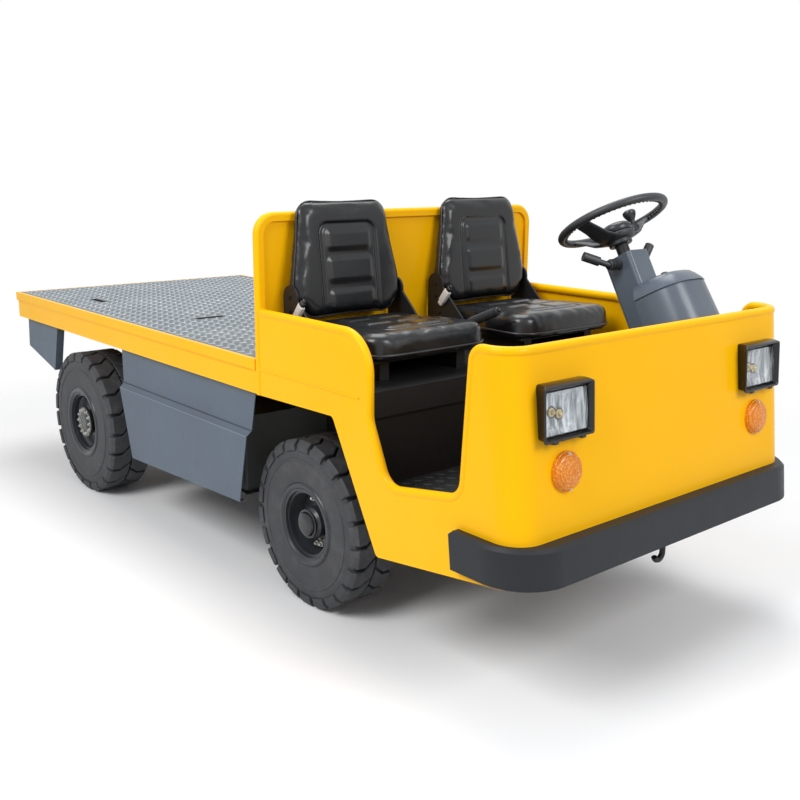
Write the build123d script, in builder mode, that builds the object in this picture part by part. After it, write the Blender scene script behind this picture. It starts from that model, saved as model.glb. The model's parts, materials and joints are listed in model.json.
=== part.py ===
"""Electric platform truck: open two-seat cab, steel load deck, four wheels, front axle steering.

Millimetres, X forward, Y to the vehicle's left, Z up, ground at Z = 0.
Sideways pieces are drawn for the right side (Y below zero) and mirrored.
"""
import os
from math import atan, cos, degrees, hypot, radians, sin

from build123d import *

os.makedirs("parts", exist_ok=True)

# Overall layout; names that end in _x count forward from the deck's rear edge or the cab's rear face
deck_length = 2048.0
cab_length = 1171.0
body_width = 1200.0
half = body_width / 2
deck_height = 776.0
rear_axle_x = 684.0
front_axle_setback = 173.0
edge_proud = 3.0
sheet = 4.0
edge_tube_radius = 13.5
bearing_clearance = 0.3

# Load deck
deck_rail_height = 111.0
deck_lip_height = 35.0
deck_lip_step = 6.0
deck_plate_thick = 5.0
deck_rim_width = 14.0
deck_flange_width = 50.0
deck_web = 5.0
deck_bearer_width = 60.0
deck_bearer_count = 5
hand_slot_length = 113.0
hand_slot_width = 20.0
rear_slot_x = 505.0
rear_slot_inset = 175.0
front_slot_x = 1223.0
front_slot_inset = 312.0

# Chassis rails
rail_outer_y = 200.0
rail_width = 60.0
rail_height = 120.0
rail_setback = 30.0
rail_kick_x = 445.0
kick_run = 40.0
front_rail_height = 104.0
front_beam_depth = 45.0
cross_member_width = 60.0
axle_cross_run = 320.0
mid_cross_x = 1480.0
cab_cross_x = 40.0

# Cab
bulkhead_height = 1223.0
bulkhead_thick = 27.0
bulkhead_rim = 27.0
bulkhead_recess = 10.0
bulkhead_corner = 68.0
bulkhead_edge = 10.8
seat_side_height = 935.0
front_height = 962.0
front_corner_radius = 80.0
front_rake = 0.1116
floor_height = 490.0
floor_thick = 6.0
floor_landing = 3.0
seat_box_height = 765.0
seat_box_ledge_drop = 73.0
seat_box_step = 15.0
seat_box_front_x = 552.0
seat_box_clearance = 2.0

# Door opening, wheel arch and side sheet
door_rear_x = 566.0
door_bend_z = 690.0
door_top_x = 950.0
door_corner_radius = 107.0
door_bend_radius = 90.0
door_top_radius = 32.0
sill_rear_x = 632.0
sill_rear_z = 514.0
sill_rear_radius = 70.0
sill_front_x = 925.0
sill_front_z = 565.0
sill_front_radius = 62.0
panel_split_x = 820.0
split_overrun = 20.0
arch_top_run = 225.0
arch_top_rise = 8.0
arch_bottom_run = 423.0
arch_bottom_z = 312.0
arch_corner_radius = 18.0
cowl_slope = 0.14
side_bead_z = 747.0
side_bead_reach = 521.0
side_bead_radius = 4.0
well_gap = 26.0
well_rail_gap = 5.0
well_foot_rise = 40.0

# Battery and side covers
battery_rear_x = 1060.0
battery_axle_gap = 350.0
battery_bottom = 285.0
battery_side_gap = 60.0
battery_corner = 12.0
tray_strap = 8.0
skirt_sheet = 3.0
skirt_inset = 20.0
skirt_crease = 510.0
skirt_joggle = 18.0
skirt_rear_x = 1050.0
skirt_rear_foot_x = 1128.0
skirt_rear_foot = 240.0
skirt_front_foot_x = 1925.0
skirt_front_foot = 276.0
skirt_front_crease_x = 1978.0
skirt_front_x = 2013.0
skirt_return = 16.0
guard_rear_x = 71.0
guard_rear_foot_x = 58.0
guard_rear_foot = 533.0
guard_front_foot_x = 348.0
guard_front_foot = 461.0
guard_front_x = 410.0
guard_fold = 30.0

# Lamps
headlamp_inset = 172.0
headlamp_z = 798.0
headlamp_width = 204.0
headlamp_height = 138.0
headlamp_depth = 50.0
headlamp_flare = 10.0
headlamp_frame = 16.0
headlamp_floor = 20.0
headlamp_lens_set = 12.0
headlamp_corner = 10.0
lens_corner = 8.0
lens_gap = 0.5
turn_lamp_inset = 176.0
turn_lamp_z = 650.0
turn_lamp_radius = 50.0
turn_lamp_depth = 22.0
turn_lamp_round = 13.0
tail_lamp_inset = 120.0
tail_lamp_width = 100.0
tail_lamp_height = 56.0
tail_lamp_depth = 25.0
tail_lamp_corner = 8.0

# Towing gear
coupling_width = 50.0
coupling_plate = 8.0
coupling_plate_margin = 20.0
coupling_ear = 15.0
coupling_jaw = 40.0
coupling_bore = 14.0
coupling_overhang = 34.0
hook_bar = 16.0
hook_bend = 19.0
hook_drop = 62.0
hook_reach = 34.0
hook_tip = 26.0

# Bumper
bumper_bottom = 390.0
bumper_height = 100.0
bumper_front_thick = 40.0
bumper_side_thick = 28.0
bumper_end_x = 910.0
bumper_corner_radius = 142.0
bumper_chamfer = 9.0

# Wheels
front_tyre_radius = 270.0
front_tyre_width = 160.0
front_tyre_inset = 51.0
front_rim_radius = 114.0
rear_tyre_radius = 295.0
rear_tyre_width = 178.0
rear_tyre_stand = 10.0
rear_rim_radius = 127.0
shoulder_run = 11.0
shoulder_taper = 50.0
lug_count = 22
lug_depth = 16.0
lug_groove = 19.0
rim_flange_inset = 6.0
rim_wall = 6.0
rim_step = 9.0
rim_disc = 10.0
hub_radius = 50.0
hub_chamfer = 14.0
hub_cap = 8.0
front_disc_y = 2.0
front_hub_in = 4.0
front_hub_out = 62.0
rear_disc_y = 34.0
rear_hub_in = 60.0
rear_hub_out = 78.0

# Axles, springs and knuckles
front_beam_width = 60.0
front_beam_height = 66.0
kingpin_inset = 199.0
kingpin_radius = 14.0
knuckle_boss_radius = 30.0
knuckle_boss_half = 38.0
knuckle_ear = 22.0
knuckle_web_y = 56.0
knuckle_web = 22.0
stub_radius = 24.0
stub_reach = 40.0
steer_arm_length = 140.0
steer_arm_inset = 20.0
steer_arm_width = 36.0
steer_arm_thick = 16.0
tie_rod_radius = 11.0
axle_tube_radius = 45.0
axle_shaft_radius = 30.0
axle_shaft_reach = 120.0
axle_hub_gap = 6.0
axle_flange_radius = 72.0
axle_flange_thick = 14.0
gear_case_radius = 120.0
gear_case_corner = 72.0
gear_case_half = 100.0
gear_neck_radius = 84.0
gear_neck_clearance = 5.0
motor_radius = 110.0
motor_length = 200.0
motor_cap_radius = 92.0
motor_cap_length = 24.0
spring_width = 50.0
spring_leaf = 9.0
spring_leaf_bite = 1.0
spring_clamp = 16.0
spring_clamp_length = 90.0
spring_eye_radius = 20.0
rear_spring_half = 330.0
front_spring_half = 230.0
rear_eye_rise = 155.0
front_eye_rise = 140.0
hanger_thick = 6.0
hanger_reach = 30.0

# Steering wheel and column
wheel_tilt = 29.0
steering_wheel_diameter = 350.0
steering_wheel_tube = 26.0
steering_offset = 15.0
steering_x = 653.0
steering_z = 1200.0
boss_drop = 80.0
boss_radius = 36.0
boss_flare_radius = 42.0
boss_height = 36.0
horn_radius = 50.0
horn_top = 2.0
horn_round = 14.0
spoke_drop = 34.0
spoke_thick = 12.0
spoke_width = 38.0
knob_spoke_fraction = 0.6
knob_stem_radius = 9.0
knob_stem_height = 12.0
knob_radius = 22.0
knob_height = 24.0
knob_round = 9.0
column_radius = 20.0
column_gap = 1.0
shroud_top = 118.0
shroud_width = 96.0
shroud_depth = 104.0
shroud_reach = 760.0
shroud_corner = 14.0
pod_top = 214.0
pod_length = 216.0
pod_width = 236.0
pod_depth = 152.0
pod_corner = 66.0
pod_lid_height = 44.0
pod_lid_taper = 12.0
pod_lid_lap = 3.0
pod_lid_round = 8.0

# Seats
seat_side_gap = 141.0
seat_cushion_length = 420.0
seat_cushion_thick = 72.0
seat_cushion_dip = 16.0
seat_cushion_bow = 18.0
seat_cushion_rear_x = 87.0
seat_cushion_corner = 70.0
seat_cushion_round = 22.0
seat_cushion_taper = 8.0
seat_flare_x = 238.0
seat_flare_run = 90.0
seat_pan_thick = 8.0
seat_pan_inset = 40.0
slide_height = 56.0
slide_y = 150.0
slide_width = 34.0
backrest_inset = 24.5
backrest_height = 360.0
backrest_thick = 55.0
backrest_top_thick = 30.0
backrest_rise = 69.0
backrest_front_x = 107.0
backrest_lean = 7.5
backrest_corner = 45.0
backrest_round = 14.0
backrest_foot_inset = 50.0
backrest_top_inset = 40.0
backrest_waist_low = 55.0
backrest_waist_high = 120.0
bracket_thick = 8.0
bracket_rear_x = 32.0
bracket_width = 72.0
bracket_rise = 175.0
bracket_knee_rise = 130.0
bracket_foot_x = 209.0
bracket_foot_rise = 29.0
cushion_bracket_gap = 3.0
buckle_x = 124.0
buckle_rise = 99.0
buckle_turn = -38.0
buckle_width = 34.0
buckle_length = 64.0
buckle_thick = 20.0
buckle_corner = 8.0

# Small controls
lever_drop = 22.0
lever_radius = 9.0
lever_grip_radius = 14.0
lever_grip_share = 0.62
bellows_radius = 17.0
bellows_ring = 4.0
bellows_pitch = 8.0
right_bellows_count = 5
left_bellows_count = 0
pedal_x = 860.0
pedal_lean = 40.0
pedal_rise = 110.0
pedal_thick = 14.0
brake_pedal_offset = -130.0
brake_pedal_width = 60.0
drive_pedal_offset = 95.0
drive_pedal_width = 50.0
brake_x = 212.0
brake_foot = 60.0
brake_foot_height = 74.0
brake_foot_corner = 6.0
brake_reach = 240.0
brake_pivot_rise = 60.0
brake_rise = 159.0
brake_bar = 9.0
brake_grip_radius = 14.0
brake_grip_length = 130.0

# Derived places
rear_overhang = coupling_overhang + coupling_width / 2
overall_length = rear_overhang + deck_length + cab_length
deck_rear = -overall_length / 2 + rear_overhang
cab_rear = deck_rear + deck_length
cab_front = cab_rear + cab_length
outer = half + edge_proud
deck_bottom = deck_height - deck_rail_height
front_axle_x = cab_rear + front_axle_setback
front_axle_z = front_tyre_radius
rear_axle = deck_rear + rear_axle_x
rear_axle_z = rear_tyre_radius
front_tyre_outer_y = half - front_tyre_inset
rear_tyre_outer_y = half + rear_tyre_stand
kingpin_y = front_tyre_outer_y - kingpin_inset
bulkhead_front = cab_rear + bulkhead_thick
floor_under = floor_height - floor_thick
seat_box_front = cab_rear + seat_box_front_x
floor_rear = seat_box_front - seat_box_step - sheet
panel_low = cab_front - bumper_front_thick
rake_angle = degrees(atan(front_rake))
tube_y = outer - edge_tube_radius
seat_y = half / 2
seat_box_ledge = seat_box_height - seat_box_ledge_drop
steering_y = seat_y - steering_offset
skirt_y = half - skirt_inset


def panel_x(z):
    """Outer face of the raked front panel at height z."""
    return panel_low - front_rake * (z - bumper_bottom)


def fore(x):
    """X of a place counted from the deck's rear edge."""
    return deck_rear + x


def cab(x):
    """X of a place counted from the bulkhead's rear face."""
    return cab_rear + x


def side_plane(y):
    """Drawing plane with local X along the truck and local Y upward; extrudes toward -Y."""
    return Plane(origin=(0, y, 0), x_dir=(1, 0, 0), z_dir=(0, -1, 0))


def raked_plane(y, z):
    """Plane lying on the front panel's outer face, normal pointing forward."""
    normal = (cos(radians(rake_angle)), 0, sin(radians(rake_angle)))
    return Plane(origin=(panel_x(z), y, z), x_dir=(0, 1, 0), z_dir=normal)


def slant_length(drop):
    """Length along the raked direction that loses the height drop."""
    return drop * hypot(1, front_rake)


def path_start(path):
    """Plane across the start of a path, for a sweep's section."""
    return Plane(origin=path.line @ 0, z_dir=path.line % 0)


def save(part, label):
    part.label = label
    export_step(part, f"parts/{label}.step")


slant = Vector(front_rake, 0, -1)

# Chassis frame: two kicked-down rails, cross members and spring hangers
rail_top = deck_bottom
rail_bottom = rail_top - rail_height
front_rail_bottom = floor_under - front_rail_height
rail_rear = fore(rail_setback)
rail_kick = cab(rail_kick_x)
rail_drop = floor_rear - floor_landing
rail_front = panel_x(floor_under) - sheet - front_beam_depth
spring_y = rail_outer_y - rail_width / 2
rear_eye_z = rear_axle_z + rear_eye_rise
front_eye_z = front_axle_z + front_eye_rise
hanger_places = [
    (rear_axle - rear_spring_half, rear_eye_z),
    (rear_axle + rear_spring_half, rear_eye_z),
    (front_axle_x - front_spring_half, front_eye_z),
    (front_axle_x + front_spring_half, front_eye_z),
]
cross_places = [rail_rear, rear_axle + axle_cross_run, fore(mid_cross_x), cab(cab_cross_x)]

with BuildPart() as chassis_frame:
    for side in (-1, 1):
        with BuildSketch(side_plane(side * spring_y)):
            with BuildLine():
                Polyline(
                    (rail_rear, rail_bottom),
                    (rail_rear, rail_top),
                    (rail_kick, rail_top),
                    (rail_drop, floor_under),
                    (rail_front, floor_under),
                    (rail_front + front_rake * front_rail_height, front_rail_bottom),
                    (rail_drop - kick_run, front_rail_bottom),
                    (rail_kick - kick_run, rail_bottom),
                    close=True,
                )
            make_face()
        extrude(amount=rail_width / 2, both=True)
    for x in cross_places:
        with BuildSketch(Plane.XY.offset(rail_bottom)):
            with Locations((x + cross_member_width / 2, 0)):
                Rectangle(cross_member_width, 2 * rail_outer_y - rail_width)
        extrude(amount=rail_height)
    with BuildSketch(Plane.XY.offset(floor_under)):
        with Locations((rail_front + front_beam_depth / 2, 0)):
            Rectangle(front_beam_depth, 2 * rail_outer_y)
    extrude(amount=slant_length(front_rail_height), dir=slant)
    for x, eye_z in hanger_places:
        for side in (-1, 1):
            for face in (-1, 1):
                plate_y = side * spring_y + face * (spring_width + hanger_thick) / 2
                with BuildSketch(side_plane(plate_y)):
                    with Locations((x, eye_z)):
                        Circle(hanger_reach)
                    with Locations((x, (eye_z + rail_bottom) / 2)):
                        Rectangle(2 * hanger_reach, rail_bottom - eye_z)
                extrude(amount=hanger_thick / 2, both=True)
save(chassis_frame.part, "chassis_frame")

# Deck frame: channel rails with a raised lip, and bearers under the plate
plate_under = deck_height - deck_plate_thick
# bottom, top, inset of the outer face, inset of the inner face
deck_rings = [
    (deck_bottom, deck_bottom + deck_web, deck_lip_step, deck_flange_width),
    (deck_bottom, plate_under, deck_lip_step, deck_lip_step + deck_web),
    (deck_height - deck_lip_height, plate_under, 0, deck_lip_step + deck_web),
    (plate_under - deck_web, plate_under, 0, deck_flange_width),
    (plate_under, deck_height, 0, deck_rim_width),
]
deck_mid = (deck_rear + cab_rear) / 2
bearer_pitch = (deck_length - 2 * deck_flange_width) / (deck_bearer_count + 1)

with BuildPart() as deck_frame:
    for low, high, out_inset, in_inset in deck_rings:
        with BuildSketch(Plane.XY.offset(low)):
            with Locations((deck_mid, 0)):
                Rectangle(deck_length - 2 * out_inset, 2 * (outer - out_inset))
                Rectangle(deck_length - 2 * in_inset, 2 * (outer - in_inset), mode=Mode.SUBTRACT)
        extrude(amount=high - low)
    with BuildSketch(Plane.XY.offset(deck_bottom)):
        for n in range(deck_bearer_count):
            with Locations((fore(deck_flange_width) + (n + 1) * bearer_pitch, 0)):
                Rectangle(deck_bearer_width, 2 * (outer - deck_lip_step - deck_web / 2))
    extrude(amount=plate_under - deck_bottom)
    # The front end of the lip step is filled so that the frame meets the bulkhead squarely
    with BuildSketch(Plane.XY.offset(deck_bottom)):
        with Locations((cab_rear - deck_lip_step / 2, 0)):
            Rectangle(deck_lip_step, 2 * (outer - deck_lip_step))
    extrude(amount=plate_under - deck_bottom)
save(deck_frame.part, "deck_frame")

# Deck plate with two hand slots
# x and y of the slot's middle, turn in degrees
hand_slots = [
    (fore(rear_slot_x), rear_slot_inset - half, 0),
    (fore(front_slot_x), front_slot_inset - half, 90),
]
with BuildPart() as deck_plate:
    with BuildSketch(Plane.XY.offset(plate_under)):
        with Locations((deck_mid, 0)):
            Rectangle(deck_length - 2 * deck_rim_width, 2 * (outer - deck_rim_width))
        for x, y, turn in hand_slots:
            with Locations((x, y)):
                SlotOverall(hand_slot_length, hand_slot_width, rotation=turn, mode=Mode.SUBTRACT)
    extrude(amount=deck_plate_thick)
save(deck_plate.part, "deck_plate")

# Bulkhead behind the seats: rounded frame with a thinner recessed sheet
recess_foot = seat_box_height + bulkhead_rim
recess_head = bulkhead_height - bulkhead_rim
with BuildPart() as bulkhead:
    with BuildSketch(Plane.YZ.offset(cab_rear)) as outline:
        with Locations((0, (deck_bottom + bulkhead_height) / 2)):
            Rectangle(2 * outer, bulkhead_height - deck_bottom)
        fillet(outline.vertices().sort_by(Axis.Y)[-2:], bulkhead_corner)
    extrude(amount=bulkhead_thick)
    fillet(bulkhead.edges().filter_by_position(Axis.Z, bulkhead_height - sheet, bulkhead_height + sheet),
           bulkhead_edge)
    for face_x, inward in ((cab_rear, 1), (bulkhead_front, -1)):
        with BuildSketch(Plane.YZ.offset(face_x)) as pocket:
            with Locations((0, (recess_foot + recess_head) / 2)):
                Rectangle(2 * (outer - bulkhead_rim), recess_head - recess_foot)
            fillet(pocket.vertices().sort_by(Axis.Y)[-2:], bulkhead_corner - bulkhead_rim)
        extrude(amount=inward * bulkhead_recess, mode=Mode.SUBTRACT)
save(bulkhead.part, "bulkhead")

# Side of the cab: a sheet with a rolled edge along the door opening and a bead along its middle
tube_top = seat_side_height - edge_tube_radius
front_tube_z = front_height - edge_tube_radius
door_rear = cab(door_rear_x) - edge_tube_radius
sill_rear = (cab(sill_rear_x), sill_rear_z)
sill_front = (cab(sill_front_x), sill_front_z)
door_top_front = (cab(door_top_x), front_tube_z)
arch_top = (front_axle_x + arch_top_run, deck_bottom + arch_top_rise)
arch_bottom = (front_axle_x + arch_bottom_run, arch_bottom_z)
panel_split = cab(panel_split_x)


def cowl_z(x):
    """Lower edge of the cab's side at x."""
    return arch_bottom[1] + cowl_slope * (x - arch_bottom[0])


def sill_z(x):
    """Middle of the sill's tube at x."""
    rise = (sill_front[1] - sill_rear[1]) / (sill_front[0] - sill_rear[0])
    return sill_rear[1] + rise * (x - sill_rear[0])


side_end = panel_split + split_overrun
seat_side_line = [
    (bulkhead_front, tube_top),
    (door_rear, tube_top),
    (door_rear, door_bend_z),
    sill_rear,
    (side_end, sill_z(side_end)),
]
seat_side_radii = [door_corner_radius, door_bend_radius, sill_rear_radius]

with BuildPart() as side_panel_right:
    with BuildSketch(side_plane(-half + sheet)):
        with BuildLine():
            edge = FilletPolyline(seat_side_line, radius=seat_side_radii)
            lower = FilletPolyline(
                (side_end, cowl_z(side_end)),
                arch_bottom,
                arch_top,
                (bulkhead_front, deck_bottom),
                radius=arch_corner_radius,
            )
            Line(edge @ 1, lower @ 0)
            Line(lower @ 1, edge @ 0)
        make_face()
    extrude(amount=sheet)
    with BuildSketch(Plane.YZ.offset(bulkhead_front)):
        with Locations((side_bead_radius - outer, side_bead_z)):
            Circle(side_bead_radius)
    extrude(amount=cab(side_bead_reach) - bulkhead_front)
    with BuildLine(side_plane(-tube_y)) as edge_path:
        FilletPolyline(seat_side_line, radius=seat_side_radii)
    with BuildSketch(path_start(edge_path)):
        Circle(edge_tube_radius)
    sweep(path=edge_path.line)
    split(bisect_by=Plane.YZ.offset(panel_split), keep=Keep.BOTTOM)
save(side_panel_right.part, "side_panel_right")

with BuildPart() as side_panel_left:
    mirror(side_panel_right.part, about=Plane.XZ)
save(side_panel_left.part, "side_panel_left")

# Front panel: raked sheet turned round both corners, with the rolled edge along the top
tube_front_x = panel_x(front_tube_z) + edge_proud - edge_tube_radius
tube_corner = front_corner_radius + edge_proud - edge_tube_radius
leg_end = panel_split - front_rake * front_height
door_top_end = door_top_front[0] + 2 * door_top_radius
front_start = panel_split - split_overrun
front_edge_line = [
    (front_start, sill_z(front_start)),
    sill_front,
    door_top_front,
    (tube_front_x - tube_corner, front_tube_z),
]

with BuildPart() as front_panel:
    with BuildSketch(Plane.XY.offset(front_tube_z)) as plan:
        with Locations(((leg_end + panel_x(front_tube_z)) / 2, 0)):
            Rectangle(panel_x(front_tube_z) - leg_end, body_width)
        fillet(plan.vertices().sort_by(Axis.X)[-2:], front_corner_radius)
        with Locations(((leg_end + panel_x(front_tube_z) - sheet) / 2, 0)):
            RectangleRounded(panel_x(front_tube_z) - sheet - leg_end, body_width - 2 * sheet,
                             front_corner_radius - sheet, mode=Mode.SUBTRACT)
        with Locations((leg_end, 0)):
            Rectangle(3 * front_corner_radius, body_width - 2 * sheet, mode=Mode.SUBTRACT)
    extrude(amount=slant_length(front_tube_z - arch_bottom[1]), dir=slant)
    # Rear trim: the door's front edge, then the split and the rising lower edge
    with BuildSketch(side_plane(0)):
        with BuildLine():
            FilletPolyline(
                (panel_split, sill_z(panel_split)),
                sill_front,
                door_top_front,
                (door_top_end, front_tube_z),
                radius=[sill_front_radius, door_top_radius],
            )
            Polyline(
                (door_top_end, front_tube_z),
                (door_top_end, front_height),
                (panel_split, front_height),
                (panel_split, sill_z(panel_split)),
            )
        make_face()
    extrude(amount=body_width, both=True, mode=Mode.SUBTRACT)
    with BuildSketch(side_plane(0)):
        with BuildLine():
            Polyline(
                (leg_end - body_width, 0),
                (cab_front + body_width, 0),
                (cab_front + body_width, cowl_z(cab_front + body_width)),
                (panel_split, cowl_z(panel_split)),
                (panel_split, front_height),
                (leg_end - body_width, front_height),
                close=True,
            )
        make_face()
    extrude(amount=body_width, both=True, mode=Mode.SUBTRACT)
    with BuildLine(side_plane(-tube_y)) as right_edge:
        FilletPolyline(front_edge_line, radius=[sill_front_radius, door_top_radius])
    with BuildLine(Plane.XY.offset(front_tube_z)) as front_edge:
        RadiusArc((tube_front_x - tube_corner, -tube_y), (tube_front_x, tube_corner - tube_y), -tube_corner)
        Line((tube_front_x, tube_corner - tube_y), (tube_front_x, tube_y - tube_corner))
        RadiusArc((tube_front_x, tube_y - tube_corner), (tube_front_x - tube_corner, tube_y), -tube_corner)
    with BuildLine(side_plane(tube_y)) as left_edge:
        FilletPolyline(front_edge_line, radius=[sill_front_radius, door_top_radius])
    for path in (right_edge, front_edge, left_edge):
        with BuildSketch(path_start(path)):
            Circle(edge_tube_radius)
        sweep(path=path.line)
    split(bisect_by=Plane.YZ.offset(panel_split), keep=Keep.TOP)
save(front_panel.part, "front_panel")

# Bumper: raked band wrapped round the front corners, its outer edges chamfered
bumper_end = cab(bumper_end_x)
bumper_top = bumper_bottom + bumper_height
bumper_back = panel_x(bumper_top)
bumper_front = bumper_back + bumper_front_thick
bumper_half = half + bumper_side_thick


def is_outer_edge(edge):
    """True for an edge of the bumper's end face that lies on its outside."""
    if edge.geom_type == GeomType.CIRCLE:
        return edge.radius > front_corner_radius + sheet
    if abs((edge @ 0.5).Y) > half + sheet:
        return True
    return edge.length > body_width / 2 and edge.center().X > bumper_back + sheet


with BuildPart() as front_bumper:
    with BuildSketch(Plane.XY.offset(bumper_top)) as band:
        with Locations(((bumper_end + bumper_front) / 2, 0)):
            Rectangle(bumper_front - bumper_end, 2 * bumper_half)
        fillet(band.vertices().sort_by(Axis.X)[-2:], bumper_corner_radius)
        with Locations(((bumper_end + bumper_back) / 2, 0)):
            RectangleRounded(bumper_back - bumper_end, body_width, front_corner_radius, mode=Mode.SUBTRACT)
        with Locations((bumper_end, 0)):
            Rectangle(2 * front_corner_radius, body_width, mode=Mode.SUBTRACT)
    extrude(amount=slant_length(bumper_height), dir=slant)
    top_edges = front_bumper.faces().sort_by(Axis.Z)[-1].edges().filter_by(is_outer_edge)
    chamfer(top_edges, bumper_chamfer)
save(front_bumper.part, "front_bumper")

# Cab floor resting on the front rails
floor_front = panel_x(floor_height) - sheet
with BuildPart() as cab_floor:
    with BuildSketch(Plane.XY.offset(floor_height)) as floor_plan:
        with Locations(((floor_rear + floor_front) / 2, 0)):
            Rectangle(floor_front - floor_rear, body_width - 2 * sheet)
        fillet(floor_plan.vertices().sort_by(Axis.X)[-2:], front_corner_radius - sheet)
    extrude(amount=slant_length(floor_thick), dir=slant)
save(cab_floor.part, "cab_floor")

# Seat box: folded sheet from the bulkhead to the floor, with a ledge along its front
seat_box_half = half - 2 * edge_tube_radius - seat_box_clearance
with BuildPart() as seat_box:
    with BuildSketch(side_plane(0)):
        with BuildLine():
            Polyline(
                (bulkhead_front, seat_box_height),
                (seat_box_front, seat_box_height),
                (seat_box_front, seat_box_ledge),
                (seat_box_front - seat_box_step, seat_box_ledge),
                (seat_box_front - seat_box_step, floor_height),
                (seat_box_front - seat_box_step - sheet, floor_height),
                (seat_box_front - seat_box_step - sheet, seat_box_ledge + sheet),
                (seat_box_front - sheet, seat_box_ledge + sheet),
                (seat_box_front - sheet, seat_box_height - sheet),
                (bulkhead_front, seat_box_height - sheet),
                close=True,
            )
        make_face()
    extrude(amount=seat_box_half, both=True)
save(seat_box.part, "seat_box")

# Wheel well panels: slanted sheets between the front tyres and the cab
well_inner_y = rail_outer_y + well_rail_gap
well_foot = (arch_bottom[0] + well_gap, arch_bottom[1] + well_foot_rise)
well_head = (floor_rear, floor_under)
with BuildPart() as wheel_well_panels:
    with BuildSketch(side_plane(-well_inner_y)):
        with BuildLine():
            Polyline(
                well_head,
                (well_head[0] + sheet, well_head[1]),
                (well_foot[0] + sheet, well_foot[1]),
                well_foot,
                close=True,
            )
        make_face()
    extrude(amount=half - sheet - well_inner_y)
    mirror(wheel_well_panels.part, about=Plane.XZ)
save(wheel_well_panels.part, "wheel_well_panels")

# Battery tray hung under the rails, and the battery as one plain block
battery_rear = fore(battery_rear_x)
battery_front = front_axle_x - battery_axle_gap
battery_mid = (battery_rear + battery_front) / 2
battery_length = battery_front - battery_rear
battery_width = body_width - 2 * battery_side_gap
with BuildPart() as battery_tray:
    with BuildSketch(Plane.XY.offset(battery_bottom - tray_strap)):
        with Locations((battery_mid, 0)):
            Rectangle(battery_length + 2 * tray_strap, battery_width + 2 * tray_strap)
    extrude(amount=tray_strap)
    with BuildSketch(Plane.XY.offset(battery_bottom)):
        for x in (battery_rear - tray_strap / 2, battery_front + tray_strap / 2):
            for side in (-1, 1):
                with Locations((x, side * spring_y)):
                    Rectangle(tray_strap, rail_width)
    extrude(amount=rail_bottom - battery_bottom)
save(battery_tray.part, "battery_tray")

with BuildPart() as battery_pack:
    with BuildSketch(Plane.XY.offset(battery_bottom)):
        with Locations((battery_mid, 0)):
            Rectangle(battery_length, battery_width)
    extrude(amount=rail_bottom - battery_bottom)
    fillet(battery_pack.edges().filter_by(Axis.Z), battery_corner)
save(battery_pack.part, "battery_pack")

# Side skirts: joggled sheets under the deck rails, cut to a trapezoid
skirt_outline = [
    (fore(skirt_rear_x), deck_bottom),
    (fore(skirt_rear_x), skirt_crease),
    (fore(skirt_rear_foot_x), skirt_rear_foot),
    (fore(skirt_front_foot_x), skirt_front_foot),
    (fore(skirt_front_crease_x), skirt_crease),
    (fore(skirt_front_x), deck_bottom),
]
with BuildPart() as side_skirts:
    with BuildSketch(Plane.YZ.offset(fore(skirt_rear_x))):
        with BuildLine():
            Polyline(
                (-skirt_y, deck_bottom),
                (-skirt_y, skirt_crease + skirt_joggle),
                (-skirt_y - skirt_joggle, skirt_crease),
                (-skirt_y - skirt_joggle, 0),
                (-skirt_y - skirt_joggle + skirt_sheet, 0),
                (-skirt_y - skirt_joggle + skirt_sheet, skirt_crease),
                (-skirt_y + skirt_sheet, skirt_crease + skirt_joggle),
                (-skirt_y + skirt_sheet, deck_bottom),
                close=True,
            )
        make_face()
    extrude(amount=skirt_front_x - skirt_rear_x)
    with BuildSketch(side_plane(0)):
        with BuildLine():
            Polyline(skirt_outline, close=True)
        make_face()
    extrude(amount=body_width, mode=Mode.INTERSECT)
    # Lower edge folded inward
    with BuildSketch(side_plane(-skirt_y - skirt_joggle + skirt_sheet + skirt_return)):
        with BuildLine():
            Polyline(
                skirt_outline[2],
                skirt_outline[3],
                (skirt_outline[3][0], skirt_outline[3][1] + skirt_sheet),
                (skirt_outline[2][0], skirt_outline[2][1] + skirt_sheet),
                close=True,
            )
        make_face()
    extrude(amount=skirt_return + skirt_sheet / 2)
    mirror(side_skirts.part, about=Plane.XZ)
save(side_skirts.part, "side_skirts")

# Rear mudguards with a folded front edge
guard_front_foot_point = (fore(guard_front_foot_x), guard_front_foot)
guard_front_top_point = (fore(guard_front_x), deck_bottom)
guard_inner_y = -skirt_y + skirt_sheet
with BuildPart() as rear_mudguards:
    with BuildSketch(side_plane(guard_inner_y)):
        with BuildLine():
            Polyline(
                (fore(guard_rear_x), deck_bottom),
                (fore(guard_rear_foot_x), guard_rear_foot),
                guard_front_foot_point,
                guard_front_top_point,
                close=True,
            )
        make_face()
    extrude(amount=skirt_sheet)
    with BuildSketch(side_plane(guard_inner_y + guard_fold)):
        with BuildLine():
            Polyline(
                guard_front_foot_point,
                guard_front_top_point,
                (guard_front_top_point[0] - skirt_sheet, guard_front_top_point[1]),
                (guard_front_foot_point[0] - skirt_sheet, guard_front_foot_point[1]),
                close=True,
            )
        make_face()
    extrude(amount=guard_fold + skirt_sheet / 2)
    mirror(rear_mudguards.part, about=Plane.XZ)
save(rear_mudguards.part, "rear_mudguards")

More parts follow.
